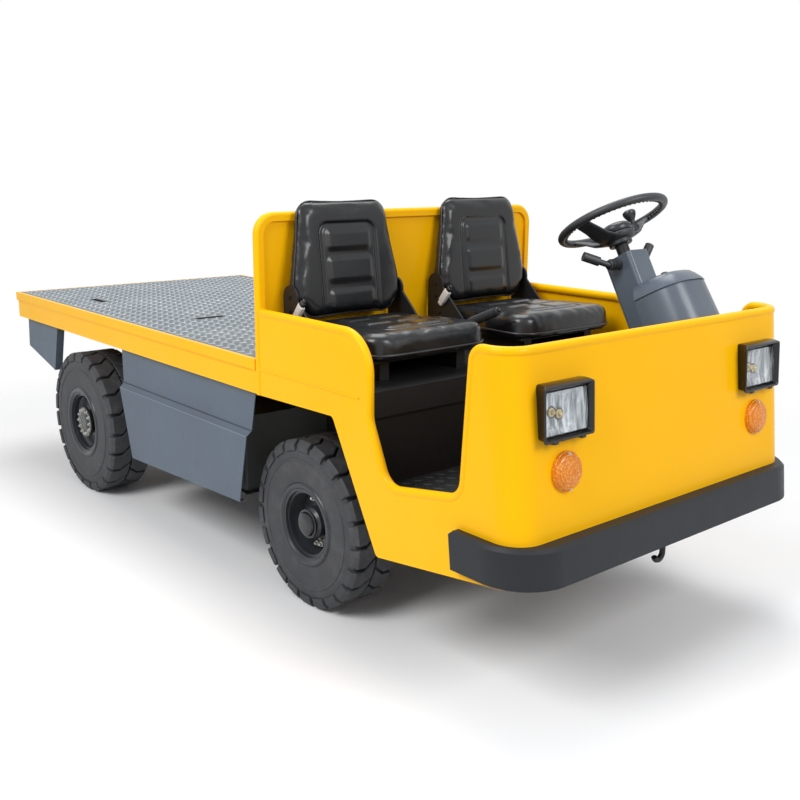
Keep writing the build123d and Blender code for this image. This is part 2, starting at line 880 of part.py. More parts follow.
# Headlamps: flared housings on the raked panel with recessed lenses
headlamp_y = half - headlamp_inset
lamp_window_width = headlamp_width - 2 * headlamp_frame
lamp_window_height = headlamp_height - 2 * headlamp_frame
with BuildPart() as headlamp_housings:
    for side in (-1, 1):
        back = raked_plane(side * headlamp_y, headlamp_z)
        with BuildSketch(back):
            RectangleRounded(headlamp_width - 2 * headlamp_flare, headlamp_height - headlamp_flare,
                             headlamp_corner)
        with BuildSketch(back.offset(headlamp_depth)):
            RectangleRounded(headlamp_width, headlamp_height, headlamp_corner)
        loft()
        with BuildSketch(back.offset(headlamp_depth)):
            RectangleRounded(lamp_window_width, lamp_window_height, lens_corner)
        extrude(amount=headlamp_floor - headlamp_depth, mode=Mode.SUBTRACT)
save(headlamp_housings.part, "headlamp_housings")

with BuildPart() as headlamp_lenses:
    for side in (-1, 1):
        with BuildSketch(raked_plane(side * headlamp_y, headlamp_z).offset(headlamp_floor)):
            RectangleRounded(lamp_window_width - 2 * lens_gap, lamp_window_height - 2 * lens_gap, lens_corner)
        extrude(amount=headlamp_depth - headlamp_floor - headlamp_lens_set)
save(headlamp_lenses.part, "headlamp_lenses")

# Turn lamps: low round domes
with BuildPart() as turn_lamps:
    for side in (-1, 1):
        with BuildSketch(raked_plane(side * (half - turn_lamp_inset), turn_lamp_z)):
            Circle(turn_lamp_radius)
        extrude(amount=turn_lamp_depth)
    fillet(turn_lamps.faces().sort_by(Axis.X)[-2:].edges(), turn_lamp_round)
save(turn_lamps.part, "turn_lamps")

# Tail lamps on the deck's rear rail
tail_lamp_z = (deck_bottom + deck_height - deck_lip_height) / 2

with BuildPart() as tail_lamps:
    with BuildSketch(Plane.YZ.offset(deck_rear - tail_lamp_depth)):
        for side in (-1, 1):
            with Locations((side * (half - tail_lamp_inset), tail_lamp_z)):
                RectangleRounded(tail_lamp_width, tail_lamp_height, tail_lamp_corner)
    extrude(amount=tail_lamp_depth + deck_lip_step)
save(tail_lamps.part, "tail_lamps")

# Rear tow coupling: back plate and two ears with a pin bore
coupling_z = (rail_top + rail_bottom) / 2
coupling_x = deck_rear - coupling_overhang
coupling_root = rail_rear - coupling_plate
with BuildPart() as tow_coupling:
    with BuildSketch(Plane.YZ.offset(rail_rear)):
        with Locations((0, coupling_z)):
            Rectangle(coupling_width + 2 * coupling_plate_margin, rail_height)
    extrude(amount=-coupling_plate)
    for low in (coupling_z - coupling_jaw / 2 - coupling_ear, coupling_z + coupling_jaw / 2):
        with BuildSketch(Plane.XY.offset(low)):
            with Locations((coupling_x, 0)):
                Circle(coupling_width / 2)
            with Locations(((coupling_root + coupling_x) / 2, 0)):
                Rectangle(coupling_root - coupling_x, coupling_width)
            with Locations((coupling_x, 0)):
                Circle(coupling_bore, mode=Mode.SUBTRACT)
        extrude(amount=coupling_ear)
save(tow_coupling.part, "tow_coupling")

# Front tow hook: bent bar under the front beam
hook_x = rail_front + front_beam_depth / 2
hook_foot = front_rail_bottom - hook_drop
with BuildPart() as tow_hook:
    with BuildLine(Plane.YZ.offset(hook_x)) as hook_path:
        FilletPolyline(
            (0, front_rail_bottom),
            (0, hook_foot),
            (-hook_reach, hook_foot),
            (-hook_reach, hook_foot + hook_tip),
            radius=[hook_bend, hook_reach - hook_bend],
        )
    with BuildSketch(path_start(hook_path)):
        Circle(hook_bar / 2)
    sweep(path=hook_path.line)
save(tow_hook.part, "tow_hook")

# Steering column frame: origin at the steering wheel's middle, Z up along the column, Y forward
column_up = (-sin(radians(wheel_tilt)), 0, cos(radians(wheel_tilt)))
column_plane = Plane(origin=(cab(steering_x), steering_y, steering_z), x_dir=(0, -1, 0), z_dir=column_up)


def radial_plane(turn, reach=0.0):
    """Plane through the column's axis: local X outward at the angle turn, local Y up the column."""
    outward = (cos(radians(turn)), sin(radians(turn)), 0)
    across = (sin(radians(turn)), -cos(radians(turn)), 0)
    start = (reach * cos(radians(turn)), reach * sin(radians(turn)), 0)
    return Plane(column_plane * Plane(origin=start, x_dir=outward, z_dir=across))


# Steering wheel: rim, three dished spokes, hub boss, horn pad and a spinner knob on the forward spoke
rim_radius = (steering_wheel_diameter - steering_wheel_tube) / 2
spoke_turns = [90, 210, 330]
knob_reach = knob_spoke_fraction * rim_radius
with BuildPart() as steering_wheel:
    with Locations(column_plane):
        Torus(rim_radius, steering_wheel_tube / 2)
    with BuildSketch(radial_plane(0)) as hub_section:
        with BuildLine():
            Polyline(
                (0, -boss_drop),
                (boss_radius, -boss_drop),
                (boss_flare_radius, boss_height - boss_drop),
                (horn_radius, boss_height - boss_drop),
                (horn_radius, horn_top),
                (0, horn_top),
                close=True,
            )
        make_face()
        fillet(hub_section.vertices().sort_by(Axis.Y)[-2:].sort_by(Axis.X)[-1], horn_round)
    revolve(axis=Axis(column_plane.origin, column_up))
    for turn in spoke_turns:
        with BuildSketch(radial_plane(turn)):
            with BuildLine():
                Polyline(
                    (0, -spoke_drop - spoke_thick),
                    (horn_radius, -spoke_drop - spoke_thick),
                    (rim_radius, -spoke_thick / 2),
                    (rim_radius, spoke_thick / 2),
                    (horn_radius, -spoke_drop),
                    (0, -spoke_drop),
                    close=True,
                )
            make_face()
        extrude(amount=spoke_width / 2, both=True)
    with BuildSketch(radial_plane(spoke_turns[0], knob_reach)) as knob_section:
        with BuildLine():
            Polyline(
                (0, -spoke_drop / 2),
                (knob_stem_radius, -spoke_drop / 2),
                (knob_stem_radius, knob_stem_height),
                (knob_radius, knob_stem_height),
                (knob_radius, knob_stem_height + knob_height),
                (0, knob_stem_height + knob_height),
                close=True,
            )
        make_face()
        fillet(knob_section.vertices().group_by(Axis.X)[-1], knob_round)
    knob_foot = radial_plane(spoke_turns[0], knob_reach).origin
    revolve(axis=Axis(knob_foot, column_up))
save(steering_wheel.part, "steering_wheel")

with BuildPart() as steering_column:
    with BuildSketch(column_plane.offset(-shroud_top)):
        Circle(column_radius)
    extrude(amount=shroud_top - boss_drop - column_gap)
save(steering_column.part, "steering_column")

# Column shroud standing on the floor, and the lidded dash pod on its front
with BuildPart() as column_shroud:
    with BuildSketch(column_plane.offset(-shroud_top)):
        RectangleRounded(shroud_width, shroud_depth, shroud_corner)
    extrude(amount=-shroud_reach)
    split(bisect_by=Plane.XY.offset(floor_height), keep=Keep.TOP)
save(column_shroud.part, "column_shroud")


def pod_outline(lap):
    """Plan of the pod, grown by lap at the front and sides."""
    with BuildSketch() as outline:
        with Locations((0, shroud_depth / 2 + (pod_depth + lap) / 2)):
            Rectangle(pod_width + 2 * lap, pod_depth + lap)
        fillet(outline.vertices().group_by(Axis.Y)[-1], pod_corner + lap)
        fillet(outline.vertices().group_by(Axis.Y)[0], pod_corner / 3)
    return outline.sketch


with BuildPart() as dash_pod:
    with BuildSketch(column_plane.offset(-pod_top - pod_lid_height)):
        add(pod_outline(0))
    extrude(amount=pod_lid_height - pod_length)
    with BuildSketch(column_plane.offset(-pod_top - pod_lid_height)):
        add(pod_outline(pod_lid_lap))
    extrude(amount=pod_lid_height, taper=pod_lid_taper)
    split(bisect_by=Plane(column_plane * Plane.XZ.offset(-shroud_depth / 2)), keep=Keep.BOTTOM)
    fillet(dash_pod.faces().sort_by(Axis(column_plane.origin, column_up))[-1].edges(), pod_lid_round)
save(dash_pod.part, "dash_pod")

# Column levers: direction lever on the right with a bellows, turn lever on the left
# side, length of the root, reach toward the driver, reach sideways, rise of the grip, bellows rings
lever_table = [
    (-1, 46, 44, 66, 26, right_bellows_count),
    (1, 24, 6, 40, 48, left_bellows_count),
]
lever_base = column_plane.from_local_coords((0, 0, -shroud_top - lever_drop))
with BuildPart() as column_levers:
    for side, root, reach, spread, rise, rings in lever_table:
        start = Vector(lever_base.X, steering_y + side * shroud_width / 2, lever_base.Z)
        elbow = start + Vector(0, side * root, 0)
        tip = elbow + Vector(-reach, side * spread, rise)
        grip_start = tip + (elbow - tip) * lever_grip_share
        with BuildLine() as lever_path:
            Polyline(start, elbow, tip)
        with BuildSketch(path_start(lever_path)):
            Circle(lever_radius)
        sweep(path=lever_path.line, transition=Transition.ROUND)
        with BuildSketch(Plane(origin=grip_start, z_dir=tip - grip_start)):
            Circle(lever_grip_radius)
        extrude(amount=(tip - grip_start).length)
        for n in range(rings):
            ring_start = start + Vector(0, side * n * bellows_pitch, 0)
            with BuildSketch(Plane(origin=ring_start, z_dir=(0, side, 0))):
                Circle(bellows_radius)
            extrude(amount=bellows_ring)
save(column_levers.part, "column_levers")

# Pedals: pads on short arms standing on the floor
# offset from the steering column, width
pedal_table = [
    (brake_pedal_offset, brake_pedal_width),
    (drive_pedal_offset, drive_pedal_width),
]
with BuildPart() as pedals:
    for offset, pad_width in pedal_table:
        with BuildSketch(side_plane(steering_y + offset)):
            with BuildLine():
                Polyline(
                    (cab(pedal_x), floor_height),
                    (cab(pedal_x) - pedal_lean, floor_height + pedal_rise),
                    (cab(pedal_x) - pedal_lean + pedal_thick, floor_height + pedal_rise),
                    (cab(pedal_x) + pedal_thick, floor_height),
                    close=True,
                )
            make_face()
        extrude(amount=pad_width / 2, both=True)
save(pedals.part, "pedals")

# Parking brake lever between the seats: foot, bar and grip
brake_pivot = (cab(brake_x), seat_box_height + brake_pivot_rise)
brake_tip = (brake_pivot[0] + brake_reach, seat_box_height + brake_rise)
with BuildPart() as parking_brake_lever:
    with BuildSketch(Plane.XY.offset(seat_box_height)):
        with Locations((brake_pivot[0], 0)):
            RectangleRounded(brake_foot, brake_foot / 2, brake_foot_corner)
    extrude(amount=brake_foot_height)
    with BuildLine(side_plane(0)) as brake_path:
        Line(brake_pivot, brake_tip)
    with BuildSketch(path_start(brake_path)):
        Circle(brake_bar)
    sweep(path=brake_path.line)
    with BuildSketch(Plane(origin=brake_path.line @ 1, z_dir=brake_path.line % 1)):
        Circle(brake_grip_radius)
    extrude(amount=-brake_grip_length)
save(parking_brake_lever.part, "parking_brake_lever")

# Seats: a slide frame with recliner brackets, a cushion and a backrest, one set on each side
seat_pan_height = seat_box_height + slide_height + seat_pan_thick
cushion_rear = cab(seat_cushion_rear_x)
cushion_front = cushion_rear + seat_cushion_length
cushion_half = (half - seat_side_gap) / 2
cushion_top = seat_pan_height + seat_cushion_thick
cushion_slope = seat_cushion_dip / seat_cushion_length
backrest_half = cushion_half - backrest_inset
backrest_normal = (cos(radians(backrest_lean)), 0, sin(radians(backrest_lean)))
backrest_rear_lean = backrest_lean - degrees(atan((backrest_thick - backrest_top_thick) / backrest_height))
cushion_rear_half = backrest_half - cushion_bracket_gap
# half width, height up the backrest
backrest_edge = [
    (backrest_half - backrest_foot_inset, 0),
    (backrest_half, backrest_waist_low),
    (backrest_half, backrest_waist_high),
    (backrest_half - backrest_top_inset, backrest_height),
]
for name, side in (("right", -1), ("left", 1)):
    centre_y = side * seat_y
    with BuildPart() as seat_cushion:
        with BuildSketch(Plane((0, centre_y, seat_pan_height))) as cushion_plan:
            with BuildLine():
                right_side = Polyline(
                    (cushion_rear, -cushion_rear_half),
                    (cab(seat_flare_x), -cushion_rear_half),
                    (cab(seat_flare_x) + seat_flare_run, -cushion_half),
                    (cushion_front - seat_cushion_bow, -cushion_half),
                )
                mirror(right_side, about=Plane.XZ)
                ThreePointArc(
                    (cushion_front - seat_cushion_bow, -cushion_half),
                    (cushion_front, 0),
                    (cushion_front - seat_cushion_bow, cushion_half),
                )
                Line((cushion_rear, cushion_rear_half), (cushion_rear, -cushion_rear_half))
            make_face()
            fillet(cushion_plan.vertices().group_by(Axis.X)[-1], seat_cushion_corner)
        extrude(amount=seat_cushion_thick, taper=seat_cushion_taper)
        split(bisect_by=Plane(origin=(cushion_front, centre_y, cushion_top), z_dir=(-cushion_slope, 0, 1)),
              keep=Keep.BOTTOM)
        fillet(seat_cushion.faces().sort_by(Axis.Z)[-1].edges(), seat_cushion_round)
    save(seat_cushion.part, f"seat_cushion_{name}")

    back_foot = (cab(backrest_front_x), centre_y, seat_pan_height + backrest_rise)
    back_plane = Plane(origin=back_foot, x_dir=(0, 1, 0), z_dir=backrest_normal)
    rear_normal = (cos(radians(backrest_rear_lean)), 0, sin(radians(backrest_rear_lean)))
    rear_plane = Plane(origin=back_plane.from_local_coords((0, 0, -backrest_thick)), x_dir=(0, 1, 0),
                       z_dir=rear_normal)
    with BuildPart() as seat_backrest:
        with BuildSketch(back_plane) as back_plan:
            with BuildLine():
                right_edge_points = [(-across, rise) for across, rise in backrest_edge]
                Polyline(right_edge_points + list(reversed(backrest_edge)), close=True)
            make_face()
            fillet(back_plan.vertices(), backrest_corner)
        extrude(amount=-backrest_thick - seat_cushion_round)
        split(bisect_by=rear_plane, keep=Keep.TOP)
        fillet(seat_backrest.faces().sort_by(Axis((0, 0, 0), backrest_normal))[-1].edges(), backrest_round)
    save(seat_backrest.part, f"seat_backrest_{name}")

    pan_low = seat_pan_height - seat_pan_thick
    pan_rear = cab(bracket_rear_x)
    pan_front = cushion_front - seat_pan_inset
    slide_length = pan_front - cushion_rear - seat_pan_inset
    with BuildPart() as seat_frame:
        with BuildSketch(Plane.XY.offset(pan_low)):
            with Locations(((pan_rear + pan_front) / 2, centre_y)):
                Rectangle(pan_front - pan_rear, 2 * backrest_half)
        extrude(amount=seat_pan_thick)
        with BuildSketch(Plane.XY.offset(seat_box_height)):
            for slide in (-1, 1):
                with Locations(((cushion_rear + pan_front) / 2, centre_y + slide * slide_y)):
                    Rectangle(slide_length, slide_width)
        extrude(amount=slide_height)
        for plate in (-1, 1):
            with BuildSketch(side_plane(centre_y + plate * (backrest_half + bracket_thick / 2))) as bracket:
                with BuildLine():
                    Polyline(
                        (pan_rear, pan_low),
                        (pan_rear, seat_pan_height + bracket_rise),
                        (pan_rear + bracket_width, seat_pan_height + bracket_rise),
                        (pan_rear + bracket_width, seat_pan_height + bracket_knee_rise),
                        (cab(bracket_foot_x), seat_pan_height + bracket_foot_rise),
                        (cab(bracket_foot_x), pan_low),
                        close=True,
                    )
                make_face()
                fillet(bracket.vertices().group_by(Axis.Y)[-1], bracket_width / 2 - bearing_clearance)
            extrude(amount=bracket_thick / 2, both=True)
    save(seat_frame.part, f"seat_frame_{name}")

# Seat belt buckles on the right bracket of each seat
with BuildPart() as seat_buckles:
    for side in (-1, 1):
        buckle_y = side * seat_y - backrest_half - bracket_thick
        with BuildSketch(side_plane(buckle_y)):
            with Locations(Location((cab(buckle_x), seat_pan_height + buckle_rise, 0), (0, 0, buckle_turn))):
                RectangleRounded(buckle_width, buckle_length, buckle_corner)
        extrude(amount=buckle_thick)
save(seat_buckles.part, "seat_buckles")

# Running gear: front axle beam with a bored boss at each end
with BuildPart() as front_axle:
    with BuildSketch(Plane.XZ):
        with Locations((front_axle_x, front_axle_z)):
            Rectangle(front_beam_width, front_beam_height)
    extrude(amount=kingpin_y, both=True)
    with BuildSketch(Plane.XY.offset(front_axle_z - knuckle_boss_half)):
        with Locations((front_axle_x, -kingpin_y), (front_axle_x, kingpin_y)):
            Circle(knuckle_boss_radius)
    extrude(amount=2 * knuckle_boss_half)
    with BuildSketch(Plane.XY.offset(front_axle_z - knuckle_boss_half)):
        with Locations((front_axle_x, -kingpin_y), (front_axle_x, kingpin_y)):
            Circle(kingpin_radius + bearing_clearance)
    extrude(amount=2 * knuckle_boss_half, mode=Mode.SUBTRACT)
save(front_axle.part, "front_axle")

# Rear axle: gear case with necks, tubes with end flanges, and the shafts that carry the wheels
rear_hub_y = rear_tyre_outer_y - rear_tyre_width
rear_hub_face = rear_hub_y - axle_hub_gap
with BuildPart() as rear_axle_case:
    with BuildSketch(side_plane(0)):
        with Locations((rear_axle, rear_axle_z)):
            RectangleRounded(2 * gear_case_radius, 2 * gear_case_radius, gear_case_corner)
    extrude(amount=gear_case_half, both=True)
    with BuildSketch(Plane(origin=(rear_axle, 0, rear_axle_z), x_dir=(0, 1, 0), z_dir=(1, 0, 0))):
        with BuildLine():
            Polyline(
                (0, 0),
                (0, gear_neck_radius),
                (gear_case_half, gear_neck_radius),
                (spring_y - spring_width / 2 - gear_neck_clearance, axle_tube_radius),
                (rear_hub_face - axle_flange_thick, axle_tube_radius),
                (rear_hub_face - axle_flange_thick, axle_flange_radius),
                (rear_hub_face, axle_flange_radius),
                (rear_hub_face, axle_shaft_radius),
                (rear_hub_y + axle_shaft_reach, axle_shaft_radius),
                (rear_hub_y + axle_shaft_reach, 0),
                close=True,
            )
        make_face()
    revolve(axis=Axis((rear_axle, 0, rear_axle_z), (0, 1, 0)))
    mirror(rear_axle_case.part, about=Plane.XZ)
save(rear_axle_case.part, "rear_axle")

with BuildPart() as drive_motor:
    with BuildSketch(Plane.YZ.offset(rear_axle + gear_case_radius)):
        with Locations((0, rear_axle_z)):
            Circle(motor_radius)
    extrude(amount=motor_length - motor_cap_length)
    with BuildSketch(Plane.YZ.offset(rear_axle + gear_case_radius + motor_length)):
        with Locations((0, rear_axle_z)):
            Circle(motor_cap_radius)
    extrude(amount=-motor_cap_length)
save(drive_motor.part, "drive_motor")

# Leaf springs: three bowed leaves with rolled eyes and a clamp block on the axle
# axle place, axle top, half length, eye height
spring_table = [
    (rear_axle, rear_axle_z + axle_tube_radius, rear_spring_half, rear_eye_z),
    (front_axle_x, front_axle_z + front_beam_height / 2, front_spring_half, front_eye_z),
]
# share of the spring's length, from the lowest leaf up
leaf_shares = [0.56, 0.78, 1.0]
with BuildPart() as leaf_springs:
    for x, axle_top, reach, eye_z in spring_table:
        for side in (-1, 1):
            seat_z = axle_top + spring_clamp
            with BuildSketch(side_plane(side * spring_y)):
                for level, share in enumerate(leaf_shares):
                    low = seat_z + level * spring_leaf
                    high = low + spring_leaf + spring_leaf_bite
                    rise = (eye_z - seat_z) * share ** 2
                    run = reach * share
                    with BuildLine():
                        ThreePointArc((x - run, low + rise), (x, low), (x + run, low + rise))
                        Line((x + run, low + rise), (x + run, high + rise))
                        ThreePointArc((x + run, high + rise), (x, high), (x - run, high + rise))
                        Line((x - run, high + rise), (x - run, low + rise))
                    make_face()
                with Locations((x - reach, eye_z), (x + reach, eye_z)):
                    Circle(spring_eye_radius)
                pack = len(leaf_shares) * spring_leaf
                with Locations((x, axle_top + (spring_clamp + pack) / 2)):
                    Rectangle(spring_clamp_length, spring_clamp + pack)
            extrude(amount=spring_width / 2, both=True)
save(leaf_springs.part, "leaf_springs")

# Steering knuckles: forked ears round the axle boss, kingpin, stub axle and steering arm
front_wheel_y = front_tyre_outer_y - front_tyre_width / 2
rear_wheel_y = rear_tyre_outer_y - rear_tyre_width / 2
stub_end_y = front_wheel_y + stub_reach
ear_gap = knuckle_boss_half + bearing_clearance
ear_low = front_axle_z - ear_gap - knuckle_ear
fork_height = 2 * (ear_gap + knuckle_ear)
arm_x = front_axle_x - steer_arm_length
arm_y = kingpin_y - steer_arm_inset
for name, side in (("right", -1), ("left", 1)):
    with BuildPart() as knuckle:
        for low in (front_axle_z + ear_gap, ear_low):
            with BuildSketch(Plane.XY.offset(low)):
                with Locations((front_axle_x, side * kingpin_y)):
                    Circle(knuckle_boss_radius)
                with Locations((front_axle_x, side * (kingpin_y + knuckle_web_y / 2))):
                    Rectangle(2 * knuckle_boss_radius, knuckle_web_y)
            extrude(amount=knuckle_ear)
        with BuildSketch(Plane.XY.offset(ear_low)):
            with Locations((front_axle_x, side * (kingpin_y + knuckle_web_y - knuckle_web / 2))):
                Rectangle(2 * knuckle_boss_radius, knuckle_web)
            with Locations((front_axle_x, side * kingpin_y)):
                Circle(kingpin_radius)
        extrude(amount=fork_height)
        with BuildSketch(side_plane(side * (kingpin_y + knuckle_web_y))):
            with Locations((front_axle_x, front_axle_z)):
                Circle(stub_radius)
        extrude(amount=-side * (stub_end_y - kingpin_y - knuckle_web_y))
        with BuildSketch(Plane.XY.offset(ear_low)):
            with BuildLine():
                Polyline(
                    (front_axle_x, side * (kingpin_y + steer_arm_width / 2)),
                    (arm_x, side * (arm_y + steer_arm_width / 2)),
                    (arm_x, side * (arm_y - steer_arm_width / 2)),
                    (front_axle_x, side * (kingpin_y - steer_arm_width / 2)),
                    close=True,
                )
            make_face()
            with Locations((arm_x, side * arm_y)):
                Circle(steer_arm_width / 2)
        extrude(amount=steer_arm_thick)
    save(knuckle.part, f"knuckle_{name}")

# Tie rod under the steering arms
rod_top = ear_low - bearing_clearance
with BuildPart() as tie_rod:
    with BuildSketch(Plane.XY.offset(rod_top)):
        with Locations((arm_x, -arm_y), (arm_x, arm_y)):
            Circle(steer_arm_width / 2)
    extrude(amount=-2 * tie_rod_radius)
    with BuildSketch(side_plane(0)):
        with Locations((arm_x, rod_top - tie_rod_radius)):
            Circle(tie_rod_radius)
    extrude(amount=arm_y, both=True)
save(tie_rod.part, "tie_rod")

# Wheels: lugged tyres and stepped rims, drawn with local X along the axle, outward positive
# name, axle x, axle z, middle y, tyre radius, tyre width, rim radius, bore, disc, hub reach in, hub reach out
wheel_table = [
    ("front", front_axle_x, front_axle_z, front_wheel_y, front_tyre_radius, front_tyre_width,
     front_rim_radius, stub_radius, front_disc_y, front_hub_in, front_hub_out),
    ("rear", rear_axle, rear_axle_z, rear_wheel_y, rear_tyre_radius, rear_tyre_width,
     rear_rim_radius, axle_shaft_radius, rear_disc_y, rear_hub_in, rear_hub_out),
]

for name, x, z, middle_y, radius, width, rim, bore, disc, hub_in, hub_out in wheel_table:
    wheel_plane = Plane(origin=(x, -middle_y, z), x_dir=(0, -1, 0), z_dir=(-1, 0, 0))
    axle_line = Axis((x, -middle_y, z), (0, 1, 0))
    flange = width / 2 - rim_flange_inset
    lug_pitch = 360 / lug_count
    with BuildPart() as tyre:
        for side in (-1, 1):
            ring_plane = Plane(origin=(x, -middle_y, z), x_dir=(1, 0, 0), z_dir=(0, side, 0))
            with BuildSketch(ring_plane):
                RegularPolygon(radius, 2 * lug_count)
            extrude(amount=width / 2 - shoulder_run)
            with BuildSketch(ring_plane.offset(width / 2 - shoulder_run)):
                RegularPolygon(radius, 2 * lug_count)
            extrude(amount=shoulder_run, taper=shoulder_taper)
            # Grooves part the lugs; the two rings are staggered by half a pitch
            with BuildSketch(ring_plane):
                with PolarLocations(radius, lug_count, start_angle=(side + 1) * lug_pitch / 4):
                    Rectangle(2 * lug_depth, lug_groove)
                Circle(rim)
            extrude(amount=width / 2, mode=Mode.SUBTRACT)
    save(tyre.part, f"tyre_{name}_right")

    barrel = rim - rim_wall
    bore_radius = bore + bearing_clearance
    with BuildPart() as wheel_rim:
        with BuildSketch(wheel_plane):
            with BuildLine():
                Polyline(
                    (-flange, barrel),
                    (-flange, rim),
                    (flange, rim),
                    (flange, barrel),
                    (flange - rim_step, barrel),
                    (flange - rim_step, barrel - rim_step),
                    (flange - 3 * rim_step, barrel - rim_step),
                    (disc + rim_disc, barrel - 2 * rim_step),
                    (disc + rim_disc, hub_radius),
                    (hub_out - hub_chamfer, hub_radius),
                    (hub_out, hub_radius - hub_chamfer),
                    (hub_out, 0),
                    (hub_out - hub_cap, 0),
                    (hub_out - hub_cap, bore_radius),
                    (-hub_in, bore_radius),
                    (-hub_in, hub_radius),
                    (disc, hub_radius),
                    (disc, barrel - rim_step),
                    (-rim_step, barrel),
                    close=True,
                )
            make_face()
        revolve(axis=axle_line)
    save(wheel_rim.part, f"rim_{name}_right")

    with BuildPart() as tyre_left:
        mirror(tyre.part, about=Plane.XZ)
    save(tyre_left.part, f"tyre_{name}_left")
    with BuildPart() as rim_left:
        mirror(wheel_rim.part, about=Plane.XZ)
    save(rim_left.part, f"rim_{name}_left")
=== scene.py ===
"""Looks of the electric platform truck: finishes, seat pads, tyres, checker plate, lamps and small fittings.

Metres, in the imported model's frame: X forward, Y to the vehicle's left, Z up.
"""
import json
import math

import bmesh
import bpy
from mathutils import Matrix, Vector


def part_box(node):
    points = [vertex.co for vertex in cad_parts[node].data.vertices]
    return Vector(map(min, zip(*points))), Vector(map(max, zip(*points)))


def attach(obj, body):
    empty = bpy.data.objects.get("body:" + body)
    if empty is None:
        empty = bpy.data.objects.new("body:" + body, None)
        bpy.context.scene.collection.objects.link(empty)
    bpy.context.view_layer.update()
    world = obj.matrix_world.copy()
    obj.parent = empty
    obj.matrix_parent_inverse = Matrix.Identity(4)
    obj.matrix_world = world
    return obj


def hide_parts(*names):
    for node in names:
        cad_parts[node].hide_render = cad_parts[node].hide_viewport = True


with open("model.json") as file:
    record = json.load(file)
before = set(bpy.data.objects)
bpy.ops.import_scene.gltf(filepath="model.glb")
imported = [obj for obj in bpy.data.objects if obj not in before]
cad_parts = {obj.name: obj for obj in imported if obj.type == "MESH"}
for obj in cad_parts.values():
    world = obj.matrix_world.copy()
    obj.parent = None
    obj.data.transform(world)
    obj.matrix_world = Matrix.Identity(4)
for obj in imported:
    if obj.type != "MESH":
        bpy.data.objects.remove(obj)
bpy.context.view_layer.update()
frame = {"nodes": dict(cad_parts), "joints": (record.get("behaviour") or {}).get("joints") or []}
nodes = frame["nodes"]
joints = {joint["name"]: joint for joint in frame["joints"]}


# Node graphs

class Link:
    """A node's output that takes Python arithmetic."""

    def __init__(self, graph, socket):
        self.graph = graph
        self.socket = socket

    def maths(self, operation, first, second):
        return self.graph.make("ShaderNodeMath", {"operation": operation}, {0: first, 1: second})

    def __add__(self, other):
        return self.maths("ADD", self, other)

    __radd__ = __add__

    def __sub__(self, other):
        return self.maths("SUBTRACT", self, other)

    def __rsub__(self, other):
        return self.maths("SUBTRACT", other, self)

    def __mul__(self, other):
        return self.maths("MULTIPLY", self, other)

    __rmul__ = __mul__

    def step(self, low, high):
        """0 below low, 1 above high, smooth between."""
        return self.graph.make("ShaderNodeMapRange", {"interpolation_type": "SMOOTHSTEP"},
                               {"Value": self, "From Min": low, "From Max": high})


class Graph:
    """A node tree, with the one method that adds nodes to it."""

    def __init__(self, tree):
        self.tree = tree

    def make(self, kind, settings=None, sockets=None, out=0):
        node = self.tree.nodes.new(kind)
        for key, value in (settings or {}).items():
            setattr(node, key, value)
        for key, value in (sockets or {}).items():
            if isinstance(value, Link):
                self.tree.links.new(value.socket, node.inputs[key])
            else:
                node.inputs[key].default_value = value
        return Link(self, node.outputs[out]) if node.outputs else node


class Finish(Graph):
    """A procedural material on Object coordinates."""

    def __init__(self, name):
        self.material = bpy.data.materials.new(name)
        self.material.use_nodes = True
        super().__init__(self.material.node_tree)
        self.tree.nodes.clear()
        self.place = self.make("ShaderNodeTexCoord", out="Object")

    def noise(self, scale, detail=3.0, roughness=0.55, stretch=(1, 1, 1)):
        place = self.make("ShaderNodeMapping", {}, {"Vector": self.place, "Scale": stretch})
        return self.make("ShaderNodeTexNoise", {},
                         {"Vector": place, "Scale": scale, "Detail": detail, "Roughness": roughness})

    def cells(self, scale):
        return self.make("ShaderNodeTexVoronoi", {"feature": "F1"},
                         {"Vector": self.place, "Scale": scale}, out="Distance")

    def blend(self, factor, first, second):
        return self.make("ShaderNodeMix", {"data_type": "RGBA"}, {0: factor, 6: first, 7: second}, out=2)

    def bump(self, height, strength, distance):
        return self.make("ShaderNodeBump", {},
                         {"Height": height, "Strength": strength, "Distance": distance})

    def close(self, **sockets):
        named = {key.replace("_", " "): value for key, value in sockets.items()}
        shader = self.make("ShaderNodeBsdfPrincipled", {}, named)
        self.make("ShaderNodeOutputMaterial", {}, {"Surface": shader})
        return self.material


def rgb(red, green, blue):
    """Linear colour from the 0 to 255 values that a screen shows."""
    return tuple(((v / 255 + 0.055) / 1.055) ** 2.4 if v > 10 else v / 255 / 12.92
                 for v in (red, green, blue)) + (1.0,)


# Finishes

LENS_IOR = 1.49


def gloss_paint(name, colour, shade, roughness=0.28, sheen=0.12):
    """Sprayed enamel: faint orange peel, a little dust and uneven gloss."""
    finish = Finish(name)
    cloud = finish.noise(2.2, 4)
    dust = finish.noise(38, 5, 0.7).step(0.52, 0.78)
    peel = finish.noise(520, 2)
    return finish.close(
        Base_Color=finish.blend(cloud.step(0.35, 0.75) * 0.35 + dust * 0.12, colour, shade),
        Roughness=finish.noise(9, 4).step(0.2, 0.9) * 0.14 + dust * 0.08 + roughness,
        Coat_Weight=0.04,
        Coat_Roughness=0.1,
        Specular_IOR_Level=sheen,
        Normal=finish.bump(peel, 0.06, 0.0008),
    )


